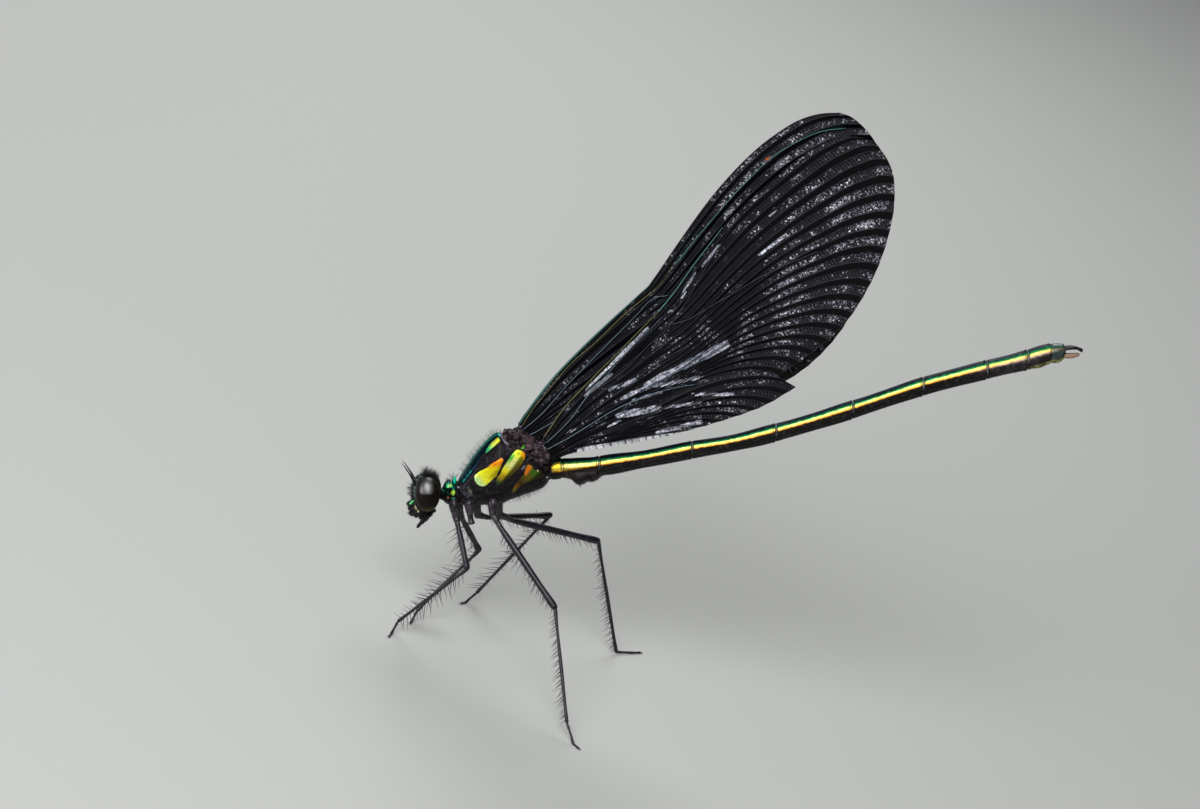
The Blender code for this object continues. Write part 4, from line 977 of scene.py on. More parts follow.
# From highlight_low up, orange, gold and pale yellow make a painted highlight stripe along the upper side; the black
# below it is partly painted shade.
highlight_low = np.interp(place_x, (4.2, 6.4, 7.4, 9.0), (-0.12, 0.14, 0.26, 0.31)) + 0.05 * faded
abdomen_tint = np.broadcast_to(np.array([0.0055, 0.0050, 0.0040]), base_tint.shape)
abdomen_tint = layer(abdomen_tint, 0.8 * hump(height_share - highlight_low + 0.32, 0.16), np.array([0.016, 0.014, 0.006]))
abdomen_tint = layer(abdomen_tint, smoothstep(-0.08, 0.03, height_share - highlight_low), np.array([0.42, 0.16, 0.01]))
abdomen_tint = layer(abdomen_tint, smoothstep(0.05, 0.16, height_share - highlight_low), np.array([0.82, 0.60, 0.09]))
abdomen_tint = layer(abdomen_tint, smoothstep(0.14, 0.28, height_share - highlight_low), np.array([0.88, 0.79, 0.19]))
abdomen_tint = layer(abdomen_tint, smoothstep(0.56, 0.66, height_share - 0.04 * faded), np.array([0.02, 0.46, 0.16]))
abdomen_tint = layer(abdomen_tint, smoothstep(0.72, 0.82, height_share - 0.05 * faded), np.array([0.0, 0.012, 0.024]))
abdomen_tint = layer(abdomen_tint, 0.55 * faded * smoothstep(0.34, 0.06, height_share),
                     np.array([0.060, 0.052, 0.062]))
# A painted peach highlight on the last rings.
abdomen_tint = layer(abdomen_tint, 0.35 * faded * hump(height_share - 0.32, 0.18), np.array([0.62, 0.50, 0.42]))
ring_gap = hump(place_x[..., None] - joints[1:-1], 0.05).max(-1) * smoothstep(-0.5, 0.2, lift)
abdomen_tint = layer(abdomen_tint, 0.85 * ring_gap, np.array([0.26, 0.28, 0.30]))
dark_ring = hump(place_x[..., None] - joints - 0.12, 0.05).max(-1)
abdomen_tint = layer(abdomen_tint, 0.8 * dark_ring, np.array([0.010, 0.011, 0.010]))
last_ring = smoothstep(44.40, 44.50, place_x)
abdomen_tint = layer(abdomen_tint, 0.8 * last_ring, np.array([0.09, 0.13, 0.13]))
under_hump = smoothstep(4.4, 4.8, place_x) * smoothstep(8.0, 7.6, place_x) * belly
abdomen_tint = layer(abdomen_tint, under_hump, ribbons(hump_relief, [
    (-0.04, (0.004, 0.003, 0.003)), (0.02, (0.026, 0.017, 0.014)), (0.09, (0.095, 0.070, 0.062))]))
pale_under = smoothstep(42.4, 43.0, place_x) * smoothstep(0.45, 0.75, -lift)
abdomen_tint = layer(abdomen_tint, 0.9 * pale_under, np.array([0.38, 0.37, 0.10]))
base_tint = base_tint * (1 - on_abdomen[..., None]) + abdomen_tint * on_abdomen[..., None]
shine = np.clip(abdomen_tint.max(-1) / 0.12, 0.0, 1.0) * (1 - pale_under) * (1 - ring_gap)
shine = shine * (1 - under_hump)
base_metal = 0.62 * shine * on_abdomen + 0.7 * neck * (lift > -0.1)
patch_metal = np.where(nearest[..., 0] == 3, 0.85, 0.40)
body_values = {"tint": base_tint, "metal": base_metal, "patch_tint": patch_tint,
               "patch_metal": patch_metal,
               "patch_gap": np.clip(patch_gap, -0.5, 0.5), "mark_tint": mark_tint,
               "mark_gap": np.clip(mark_gap, -0.5, 0.5), "mark_metal": mark_metal}


def cuticle_finish(name, rough, fine, gloss, labels=(), mottle=0.80):
    """Hard glossy skin whose colour and metal come from the mesh, with fine pits, dark specks and pale specks painted
    as glints.

    Attribute "tint" gives its colour and "metal" how metallic it is. The patches and marks of
    the labels lie over that where their gap, roughened by noise, is below 0, and mottle is the
    weight of the dark blotches.
    """
    finish = Finish(name, Specular_IOR_Level=gloss)
    place = finish.object_place()
    colour = finish.add("ShaderNodeAttribute", {"attribute_name": "tint"}, None, 0)
    metal = finish.attribute("metal")
    specks = finish.noise(place, 13000.0, 2.0)
    wrinkles = finish.noise(place, 2600.0, 3.0)
    # Pale lilac specks on the dark skin are painted glints.
    glint_speck = finish.ramp(specks, 0.51, 0.66) * finish.ramp(wrinkles, 0.42, 0.60)
    glint_speck = glint_speck * (1.0 - metal)
    colour = finish.blend(0.75 * glint_speck, colour, (0.100, 0.080, 0.098))
    blotch = finish.ramp(finish.noise(place, 2900.0, 4.0), 0.43, 0.55) * (1.0 - metal)
    colour = finish.blend(mottle * blotch, colour, (0.006, 0.005, 0.006))
    cover = metal
    for label in labels:
        edge = finish.attribute(label + "_gap") + 0.10 * wrinkles - 0.05
        shown = finish.ramp(edge, 0.025, -0.025)
        over = finish.add("ShaderNodeAttribute", {"attribute_name": label + "_tint"}, None, 0)
        colour = finish.blend(shown, colour, over)
        metal = metal * (1.0 - shown) + shown * finish.attribute(label + "_metal")
        cover = finish.highest(cover, shown)
    dark_speck = finish.ramp(specks, 0.49, 0.68) * 0.45
    colour = finish.blend(dark_speck * cover, colour, (0.035, 0.020, 0.002))
    finish.give(
        Base_Color=colour,
        Metallic=metal * 0.95,
        Roughness=rough + 0.16 * wrinkles - 0.08 * metal,
        Normal=finish.bump(specks * 0.5 + wrinkles, fine, 0.5),
    )
    return finish


metallic_cuticle = cuticle_finish("metallic_cuticle", 0.26, 0.00003, 0.10, ("patch", "mark"))
plain_cuticle = cuticle_finish("plain_cuticle", 0.26, 0.00003, 0.20)
body_points = np.stack([place_x, place_y, place_z], axis=-1)


def with_ends(grid_values):
    """Values for each point of a closed tube: the grid's own, then its end rings' means."""
    flat = grid_values.reshape(-1, *grid_values.shape[2:])
    return np.concatenate([flat, grid_values[:1].mean(1), grid_values[-1:].mean(1)])


points, faces = close_tube(body_points)
new_piece("body_skin", points, faces, metallic_cuticle, "metallic_cuticle",
          ["prothorax", "thorax"] + [f"abdomen_{ring}" for ring in range(1, 11)],
          {label: with_ends(grid) for label, grid in body_values.items()})


# Wing hinges
# Small hard plates and knobs are packed in brown folded skin between the thorax and each wing's
# root. Each is a stretched ball whose surface is pressed in and out by a few waves. The small
# knobs are painted pale grey-lilac as highlights on the lumps.
def folded_ball(centre, size, waves):
    """Rings of a stretched ball, its radius changed by products of three sine waves."""
    turn_up = np.linspace(0.04, math.pi - 0.04, 22)[:, None]
    turn_round = np.linspace(0.0, 2.0 * math.pi, 28, endpoint=False)[None, :]
    ball = np.stack([np.sin(turn_up) * np.cos(turn_round), np.cos(turn_up) + 0.0 * turn_round,
                     np.sin(turn_up) * np.sin(turn_round)], axis=-1)
    phase = ball @ dice.normal(0.0, 5.0, (3, 3)) + dice.uniform(0.0, 6.0, 3)
    return ball * (1.0 + waves * np.sin(phase).prod(-1))[..., None] * size + centre


def bar(stations, rings, sides, flat=1.0, ridge=0.0):
    """A closed rod through rows of place and radius, as rings across its own direction.

    Each ring is a circle whose height is flat times its width, with eight soft ridges round it.
    """
    rows = curve_through(stations, rings, 3)
    centres, radius = rows[:, :3], np.maximum(rows[:, 3], 0.004)
    along = unit(np.gradient(centres, axis=0))
    hint = np.eye(3)[np.argmin(np.abs(along.mean(0)))]
    first = unit(np.cross(along, hint))
    second = np.cross(along, first)
    angle = np.linspace(0.0, 2.0 * math.pi, sides, endpoint=False)
    ring = radius[:, None] * (1.0 + ridge * np.cos(8.0 * angle))[None, :]
    grid = centres[:, None] + (ring * np.cos(angle))[..., None] * first[:, None]
    return grid + (flat * ring * np.sin(angle))[..., None] * second[:, None]


def joined(parts):
    """One set of points, faces and tints from closed parts, each (grid, tint, metal)."""
    all_points, all_faces, tints, metals, total = [], [], [], [], 0
    for grid, tint, metal in parts:
        points, faces = close_tube(grid)
        all_faces += [group + total for group in faces]
        all_points.append(points)
        tints.append(np.broadcast_to(tint, (len(points), 3)))
        metals.append(np.full(len(points), metal))
        total += len(points)
    return (np.concatenate(all_points), all_faces,
            {"tint": np.concatenate(tints), "metal": np.concatenate(metals)})


hinge_parts = []
for hand in (-1, 1):
    for x, y, z, size in ((0.55, 0.95, 3.80, 0.46), (0.95, 0.85, 4.02, 0.36), (1.40, 1.05, 3.62, 0.48),
                          (1.85, 1.05, 3.42, 0.44), (2.25, 1.20, 3.12, 0.44), (2.60, 1.22, 2.82, 0.40),
                          (2.90, 1.10, 2.46, 0.34), (2.60, 1.28, 3.30, 0.26), (1.30, 0.75, 3.98, 0.30),
                          (2.92, 1.40, 2.78, 0.32), (2.98, 1.42, 2.32, 0.34), (2.72, 1.44, 2.36, 0.34),
                          (2.92, 1.34, 1.92, 0.30), (2.66, 1.46, 1.98, 0.30), (2.45, 1.52, 2.48, 0.32),
                          (0.45, 1.25, 3.45, 0.36), (1.55, 1.45, 3.10, 0.34), (2.15, 1.50, 2.62, 0.34)):
        tint = np.array((0.085, 0.052, 0.064)) * dice.uniform(0.6, 1.2)
        grid = folded_ball((x, y * hand, z), size * dice.uniform(0.8, 1.1, 3), 0.26)
        hinge_parts.append((grid, tint, 0.0))
    # These small knobs are painted pale grey-lilac as highlights.
    for x, y, z, size in ((0.75, 0.62, 4.29, 0.14), (0.84, 0.60, 4.62, 0.15), (0.98, 0.66, 4.42, 0.10),
                          (2.23, 1.46, 3.62, 0.12), (2.73, 1.50, 3.71, 0.13), (2.84, 1.50, 3.46, 0.11),
                          (2.72, 1.52, 3.22, 0.14), (2.42, 1.50, 3.46, 0.11), (1.92, 1.66, 2.62, 0.12),
                          (1.82, 1.74, 2.28, 0.11), (2.86, 1.44, 3.02, 0.10)):
        grid = folded_ball((x, y * hand, z), size * dice.uniform(0.5, 1.2, 3), 0.16)
        hinge_parts.append((grid, (0.17, 0.16, 0.21), 0.0))
points, faces, values = joined(hinge_parts)
new_piece("wing_hinges", points, faces, plain_cuticle, "metallic_cuticle", (), values)


# Tail claspers
# The last ring carries two pairs of hooks that hold the female's neck: black horny upper ones
# that curve in like a pincer, and shorter pale lower ones with a gap between them.
clasper_parts = []
for hand in (-1, 1):
    drop = 0.05 + 0.05 * hand
    upper = [(45.25, 0.30 * hand, 11.04 - drop, 0.16), (45.75, 0.42 * hand, 11.18 - drop, 0.17),
             (46.25, 0.46 * hand, 11.20 - drop, 0.14), (46.62, 0.36 * hand, 11.13 - drop, 0.12),
             (46.86, 0.18 * hand, 11.01 - drop, 0.13), (46.97, 0.09 * hand, 10.92 - drop, 0.11),
             (47.02, 0.05 * hand, 10.86 - drop, 0.03)]
    lower = [(45.25, 0.26 * hand, 10.52, 0.17), (45.80, 0.34 * hand, 10.47, 0.18),
             (46.30, 0.34 * hand, 10.50, 0.14), (46.70, 0.24 * hand, 10.60, 0.07),
             (46.78, 0.20 * hand, 10.64, 0.02)]
    clasper_parts.append((bar(upper, 26, 14), (0.012, 0.011, 0.012), 0.1))
    clasper_parts.append((bar(lower, 22, 14), (0.34, 0.20, 0.13), 0.0))
points, faces, values = joined(clasper_parts)
clasper_horn = cuticle_finish("clasper_horn", 0.26, 0.00003, 0.30, mottle=0.15)
new_piece("claspers", points, faces, clasper_horn, "metallic_cuticle", (), values)


# Head
# A hard capsule as wide as the body, with the brow, the rounded shining clypeus, the upper lip
# and the jaws stacked down its face, three bead-like simple eyes on top and the toothed lower
# lip folded below. It is carried with a slight roll.
HEAD_CENTRE = np.array([-7.1, 0.0, -1.0])
HEAD_ROLL = math.radians(7.0)
HEAD_HEART = np.array([-0.15, 0.0, -0.30])
HEAD_RINGS, HEAD_SIDES = 150, 190
# Centre and radii of each rounded form, from the head's centre
HEAD_FORMS = {
    "band": ((0.05, 0.0, 0.05), (0.92, 2.00, 1.15)),
    "vertex": ((-0.22, 0.0, 0.86), (0.60, 0.95, 0.60)),
    "occiput": ((0.35, 0.0, 0.55), (0.58, 1.35, 0.78)),
    "brow": ((-0.68, 0.0, 0.28), (0.44, 1.00, 0.60)),
    "face": ((-0.70, 0.0, -0.42), (0.42, 0.95, 0.45)),
    "clypeus": ((-0.92, 0.0, -0.98), (0.56, 0.80, 0.29)),
    "lip_base": ((-0.80, 0.0, -1.36), (0.50, 0.70, 0.18)),
    "upper_lip": ((-0.76, 0.0, -1.72), (0.54, 0.64, 0.29)),
    "jaw_left": ((-0.42, -0.70, -1.42), (0.52, 0.30, 0.50)),
    "jaw_right": ((-0.42, 0.70, -1.42), (0.52, 0.30, 0.50)),
    "cheek_left": ((0.05, -1.25, -0.75), (0.78, 0.55, 0.75)),
    "cheek_right": ((0.05, 1.25, -0.75), (0.78, 0.55, 0.75)),
    "back": ((0.62, 0.0, -0.30), (0.42, 0.75, 0.75)),
    "chin": ((0.15, 0.0, -1.30), (0.70, 0.70, 0.50)),
    "front_bead": ((-0.52, 0.0, 1.18), (0.13, 0.13, 0.13)),
    "left_bead": ((-0.22, -0.30, 1.40), (0.12, 0.12, 0.12)),
    "right_bead": ((-0.22, 0.30, 1.40), (0.12, 0.12, 0.12)),
}
FORM_BLEND = 0.035


def set_head(points):
    """Points from the head's centre, rolled about the body's length and moved to the neck."""
    roll = np.array([[1.0, 0.0, 0.0],
                     [0.0, math.cos(HEAD_ROLL), -math.sin(HEAD_ROLL)],
                     [0.0, math.sin(HEAD_ROLL), math.cos(HEAD_ROLL)]])
    return np.asarray(points) @ roll + HEAD_CENTRE


def form_distance(points, name):
    """About how far points lie outside one stretched ball: its scaled radius less one."""
    centre, size = HEAD_FORMS[name]
    scaled = np.linalg.norm((points - np.array(centre)) / np.array(size), axis=-1)
    return (scaled - 1.0) * min(size)


def head_distance(points):
    """The soft minimum of all forms' distances: -k log of the sum of exp(-distance / k)."""
    total = sum(np.exp(-np.clip(form_distance(points, name), -1.5, 1.5) / FORM_BLEND)
                for name in HEAD_FORMS)
    return -FORM_BLEND * np.log(total)


polar = np.linspace(0.02, math.pi - 0.02, HEAD_RINGS)[:, None]
round_y = np.linspace(0.0, 2.0 * math.pi, HEAD_SIDES, endpoint=False)[None, :]
directions = np.stack([np.sin(polar) * np.cos(round_y), -np.cos(polar) + 0.0 * round_y,
                       np.sin(polar) * np.sin(round_y)], axis=-1)
near, far = np.zeros(directions.shape[:2]), np.full(directions.shape[:2], 2.6)
for reach_out in np.linspace(0.3, 2.6, 47):
    held = head_distance(HEAD_HEART + reach_out * directions) < 0.0
    near = np.where(held, reach_out, near)
far = near + 0.05
for halving in range(9):
    half_way = 0.5 * (near + far)
    held = head_distance(HEAD_HEART + half_way[..., None] * directions) < 0.0
    near, far = np.where(held, half_way, near), np.where(held, far, half_way)
head_grid = HEAD_HEART + near[..., None] * directions

head_tint = np.broadcast_to(np.array([0.012, 0.011, 0.013]), head_grid.shape)
on_form = {name: inside(form_distance(head_grid, name), 0.03) for name in HEAD_FORMS}
glimmer = on_form["brow"] * smoothstep(0.45, 0.8, np.abs(head_grid[..., 1]))
head_tint = layer(head_tint, 0.8 * glimmer, np.array([0.02, 0.09, 0.08]))
beads = on_form["front_bead"] + on_form["left_bead"] + on_form["right_bead"]
head_tint = layer(head_tint, np.clip(beads, 0, 1), np.array([0.10, 0.07, 0.04]))
head_tint = layer(head_tint, on_form["clypeus"], np.array([0.003, 0.045, 0.034]))
head_metal = np.clip(0.8 * on_form["clypeus"] + 0.7 * glimmer, 0.0, 1.0)
# Marks in the head's own X and Z, on both its sides: outline and colour
HEAD_MARKS = [
    # The first mark is a painted green highlight on the side of the clypeus.
    ([(-1.20, -0.86), (-1.06, -0.72), (-0.84, -0.60), (-0.74, -0.64), (-0.92, -0.80),
      (-1.10, -0.96)], (0.20, 0.85, 0.30)),
    ([(-1.36, -0.72), (-1.28, -0.66), (-1.16, -0.70), (-1.24, -0.82)], (0.03, 0.26, 0.20)),
    ([(-0.72, -1.02), (-0.60, -1.06), (-0.52, -1.30), (-0.62, -1.42), (-0.74, -1.20)],
     (0.62, 0.56, 0.30)),
    ([(-0.44, -1.34), (-0.34, -1.38), (-0.40, -1.58), (-0.52, -1.62), (-0.54, -1.48)],
     (0.66, 0.66, 0.34)),
    ([(-0.64, -1.14), (-0.56, -1.16), (-0.52, -1.30), (-0.60, -1.30)], (0.50, 0.52, 0.62)),
]
head_x, head_y, head_z = head_grid[..., 0], head_grid[..., 1], head_grid[..., 2]
off_eye = np.hypot((head_x - 0.37) / 1.01, (head_z - 0.05) / 1.42) - 1.0
patchy = 0.05 * np.sin(19.0 * head_z + 6.0 * head_x) + 0.04 * np.sin(43.0 * head_z)
mark_gap = np.abs(off_eye - 0.13) - 0.05 + patchy + 0.2 * (head_z < -0.45) + 0.2 * (head_x > 0.2)
mark_tint = np.broadcast_to(np.array([0.10, 0.14, 0.13]), head_grid.shape)
for corners, tint in HEAD_MARKS:
    gap = outline_distance(head_x, head_z, corners)
    mark_tint = np.where((gap < mark_gap)[..., None], np.array(tint), mark_tint)
    mark_gap = np.minimum(mark_gap, gap)
mark_gap = np.maximum(mark_gap, 0.42 - np.abs(head_y))
head_values = {"tint": head_tint, "metal": head_metal, "mark_tint": mark_tint,
               "mark_gap": np.clip(mark_gap, -0.5, 0.5),
               "mark_metal": 0.45 * on_form["clypeus"]}
dark_cuticle = cuticle_finish("dark_cuticle", 0.24, 0.00002, 0.14)
head_cuticle = cuticle_finish("head_cuticle", 0.24, 0.00002, 0.12, ("mark",))
points, faces = close_tube(set_head(head_grid))
new_piece("head_skin", points, faces, head_cuticle, "dark_cuticle", ["head"],
          {label: with_ends(grid) for label, grid in head_values.items()})

mouth_parts = []
lip_black = (0.011, 0.010, 0.011)
lower_lip = [(0.92, 0.0, -1.40, 0.10), (0.84, 0.0, -1.50, 0.20), (0.66, 0.0, -1.60, 0.19),
             (0.50, 0.0, -1.80, 0.25), (0.28, 0.0, -2.00, 0.24), (0.10, 0.0, -2.20, 0.27),
             (-0.10, 0.0, -2.42, 0.20), (-0.22, 0.0, -2.60, 0.16), (-0.30, 0.0, -2.70, 0.04)]
mouth_parts.append((set_head(bar(lower_lip, 40, 30, flat=1.9, ridge=0.03)), lip_black, 0.0))
for hand in (-1, 1):
    side_lobe = [(0.40, 0.36 * hand, -1.72, 0.05), (0.22, 0.44 * hand, -1.92, 0.18),
                 (0.02, 0.44 * hand, -2.16, 0.16), (-0.12, 0.40 * hand, -2.36, 0.19),
                 (-0.30, 0.32 * hand, -2.62, 0.12), (-0.44, 0.26 * hand, -2.80, 0.14),
                 (-0.56, 0.20 * hand, -2.92, 0.09), (-0.62, 0.18 * hand, -2.96, 0.02)]
    inner_jaw = [(-0.30, 0.40 * hand, -1.52, 0.14), (-0.46, 0.42 * hand, -1.76, 0.19),
                 (-0.60, 0.34 * hand, -2.00, 0.14), (-0.68, 0.24 * hand, -2.14, 0.03)]
    palp = [(0.30, 0.62 * hand, -1.50, 0.10), (0.06, 0.64 * hand, -1.74, 0.13),
            (-0.16, 0.58 * hand, -1.92, 0.09), (-0.34, 0.50 * hand, -2.12, 0.11),
            (-0.42, 0.46 * hand, -2.22, 0.02)]
    for rows, rings, sides in ((side_lobe, 34, 16), (inner_jaw, 18, 14), (palp, 22, 12)):
        mouth_parts.append((set_head(bar(rows, rings, sides)), lip_black, 0.0))
# Glossy knobs between the upper lip and the jaws: place and radius
for knob_x, knob_y, knob_z, size in (
        (-1.22, 0.36, -1.34, 0.12), (-1.10, 0.50, -1.58, 0.10), (-0.98, 0.58, -1.28, 0.08),
        (-0.88, 0.60, -1.74, 0.12), (-1.12, 0.28, -1.84, 0.10), (-0.74, 0.56, -1.92, 0.10),
        (-0.54, 0.62, -1.84, 0.08), (-0.98, 0.10, -1.94, 0.09)):
    for hand in (-1, 1):
        knob = [(knob_x - size * math.cos(t), knob_y * hand, knob_z, size * math.sin(t) + 0.004)
                for t in np.linspace(0.0, math.pi, 9)]
        mouth_parts.append((set_head(bar(knob, 9, 12)), (0.016, 0.016, 0.022), 0.0))
points, faces, values = joined(mouth_parts)
new_piece("mouth_parts", points, faces, dark_cuticle, "dark_cuticle", (), values)


# Feelers
# Each has a thick base joint, a longer second one and a bristle-thin whip that tapers away.
for name, hand in (("left", -1), ("right", 1)):
    base = [(-0.70, 0.92 * hand, 0.72, 0.10), (-0.80, 0.95 * hand, 0.95, 0.13),
            (-0.88, 0.97 * hand, 1.10, 0.11)]
    second = [(-0.87, 0.97 * hand, 1.08, 0.08), (-0.98, 1.00 * hand, 1.30, 0.095),
              (-1.10, 1.03 * hand, 1.52, 0.075)]
    whip = [(-1.08, 1.03 * hand, 1.48, 0.068), (-1.34, 1.06 * hand, 1.87, 0.052),
            (-1.60, 1.11 * hand, 2.24, 0.034), (-1.84, 1.15 * hand, 2.54, 0.010)]
    parts = [(set_head(bar(rows, rings, 12)), tint, 0.0) for rows, rings, tint in (
        (base, 12, (0.012, 0.012, 0.014)), (second, 12, (0.03, 0.03, 0.032)),
        (whip, 20, (0.012, 0.011, 0.012)))]
    points, faces, values = joined(parts)
    new_piece(f"antenna_{name}_skin", points, faces, dark_cuticle, "dark_cuticle",
              [f"antenna_{name}"], values)


# Eyes
# Two bulging balls of very many tiny facets at the head's sides, dark brown above and olive
# at the lower rim, with a smooth wet-looking surface.
EYE_OFFSET, EYE_RADII = (0.37, 2.2, 0.05), (1.01, 0.95, 1.42)
EYE_RINGS, EYE_SIDES = 72, 96


def eye_finish():
    """A clear hard coat over brown, thickest above the middle, and facets as a fine bump."""
    finish = Finish("eye", Specular_IOR_Level=0.06, Coat_Roughness=0.42, Coat_IOR=2.2,
                    Coat_Tint=(0.92, 0.86, 0.98))
    place = finish.object_place()
    tint = finish.add("ShaderNodeAttribute", {"attribute_name": "tint"}, None, 0)
    facets = finish.add("ShaderNodeTexVoronoi", {"feature": "F1"},
                        {"Vector": place, "Scale": 24000.0})
    mottle = finish.noise(place, 1800.0, 2.0)
    colour = finish.blend(0.35 * mottle, tint, (0.0, 0.0, 0.0))
    finish.give(Base_Color=colour, Roughness=0.40 + 0.06 * mottle,
                Coat_Weight=finish.attribute("gloss"),
                Normal=finish.bump(facets, 0.000004, 0.5))
    return finish


eye_skin = eye_finish()
for name, hand in (("left", -1), ("right", 1)):
    polar = np.linspace(0.03, math.pi - 0.03, EYE_RINGS)[:, None]
    about = np.linspace(0.0, 2.0 * math.pi, EYE_SIDES, endpoint=False)[None, :]
    ball = np.stack([np.sin(polar) * np.cos(about), -np.cos(polar) + 0.0 * about,
                     np.sin(polar) * np.sin(about)], axis=-1)
    grid = ball * EYE_RADII + np.array(EYE_OFFSET) * (1.0, hand, 1.0)
    eye_tint = np.broadcast_to(np.array([0.009, 0.005, 0.0045]), ball.shape)
    eye_tint = layer(eye_tint, smoothstep(0.2, 0.9, ball[..., 2]), np.array([0.007, 0.006, 0.004]))
    lower_rim = smoothstep(0.62, 0.92, -ball[..., 2] + 0.12 * ball[..., 0])
    eye_tint = layer(eye_tint, lower_rim, np.array([0.040, 0.043, 0.006]))
    off_window = np.hypot(ball[..., 0] + 0.06, ball[..., 2] - 0.40)
    gloss = 0.03 + 0.97 * smoothstep(0.0, 0.16, ball[..., 2]) * smoothstep(0.70, 0.42, off_window)
    points, faces = close_tube(set_head(grid))
    new_piece(f"eye_{name}_ball", points, faces, eye_skin, "eye",
              [f"eye_{name}"], {"tint": with_ends(eye_tint), "gloss": with_ends(gloss)})


# Legs
# Five slender legs of hard blue-black tube: hip joints under the thorax, a long thigh, a
# thinner shin and a three-jointed foot. Of the left middle leg only the hip joints are left,
# as in the photograph.
LEGS = {
    "front_left": {
        "coxa": (-4.65, -0.75, -1.60), "trochanter": (-4.40, -1.10, -3.05),
        "knee": (-3.50, -3.20, -6.75), "ankle": (-9.25, -1.65, -11.60),
        "tip": (-9.95, -3.05, -12.50), "femur_rows": (0, 30), "tibia_rows": (90, 68),
        "thigh": 0.24, "shin": 0.140, "thigh_bristle": 1.55, "shin_bristle": 1.75},
    "front_right": {
        "coxa": (-4.45, 0.80, -1.80), "trochanter": (-4.10, 1.20, -3.35),
        "knee": (-2.60, 3.70, -6.90), "ankle": (-7.75, 1.30, -11.45),
        "tip": (-8.30, 0.50, -12.32), "femur_rows": (0, 40), "tibia_rows": (90, 68),
        "thigh": 0.25, "shin": 0.145, "thigh_bristle": 1.55, "shin_bristle": 1.85},
    "middle_right": {
        "coxa": (-2.95, 1.05, -1.70), "trochanter": (-2.65, 1.50, -3.55),
        "knee": (3.40, 5.70, -4.35), "ankle": (-2.90, 7.95, -11.70),
        "tip": (-4.15, 6.95, -12.30), "femur_rows": (0, 40), "tibia_rows": (90, 68),
        "thigh": 0.25, "shin": 0.140, "thigh_bristle": 1.5, "shin_bristle": 1.65},
    "hind_left": {
        "coxa": (-1.40, -1.15, -1.40), "trochanter": (-1.40, -1.60, -2.70),
        "knee": (3.70, -5.00, -9.60), "ankle": (4.65, -9.40, -18.05),
        "tip": (5.60, -10.55, -19.85), "femur_rows": (0, 35), "tibia_rows": (0, 35),
        "thigh": 0.265, "shin": 0.140, "thigh_bristle": 1.55, "shin_bristle": 1.30},
    "hind_right": {
        "coxa": (-1.15, 1.15, -1.60), "trochanter": (-0.85, 1.60, -3.55),
        "knee": (7.40, 5.70, -6.60), "ankle": (9.00, 7.70, -16.85),
        "tip": (11.15, 9.40, -17.38), "femur_rows": (0, 35), "tibia_rows": (0, 35),
        "thigh": 0.275, "shin": 0.150, "thigh_bristle": 1.4, "shin_bristle": 1.35},
}
STUB = ((-3.35, -1.05, -1.50), (-3.30, -1.40, -2.50), (-3.15, -1.60, -3.40))
FOOT_HEIGHT = 0.115
FOOT_ON_FLOOR = 0.30
FOOT_RADIUS = 0.105
LEG_BLACK = (0.015, 0.016, 0.026)
HIP_BROWN = (0.040, 0.032, 0.042)
# Share of the way along the joint and radius
COXA = ((-0.30, 0.04), (-0.20, 0.20), (-0.05, 0.34), (0.18, 0.44), (0.55, 0.38), (0.74, 0.33),
        (0.90, 0.30), (1.00, 0.20), (1.03, 0.03))
TROCHANTER = ((-0.12, 0.03), (-0.05, 0.18), (0.12, 0.26), (0.42, 0.29), (0.72, 0.23),
              (0.92, 0.23), (1.06, 0.17), (1.12, 0.03))
leg_cuticle = cuticle_finish("leg_cuticle", 0.26, 0.00003, 0.42)


def between(start, end, share):
    return np.asarray(start, float) + share * (np.asarray(end, float) - np.asarray(start, float))


def bead(start, end, profile):
    """Rows of place and radius on the straight line from start to end, for pairs of share
    and radius in the profile."""
    return [(*between(start, end, share), radius) for share, radius in profile]


def foot_places(leg):
    """Ankle, ball and tip of a foot, whose last stretch lies along the floor."""
    ankle, tip = on_floor([leg["ankle"], leg["tip"]])
    tip[2] = FOOT_HEIGHT * MM
    toe = tip + FOOT_ON_FLOOR * (ankle - tip)
    toe[2] = FOOT_HEIGHT * MM
    return in_body([ankle, toe, tip])


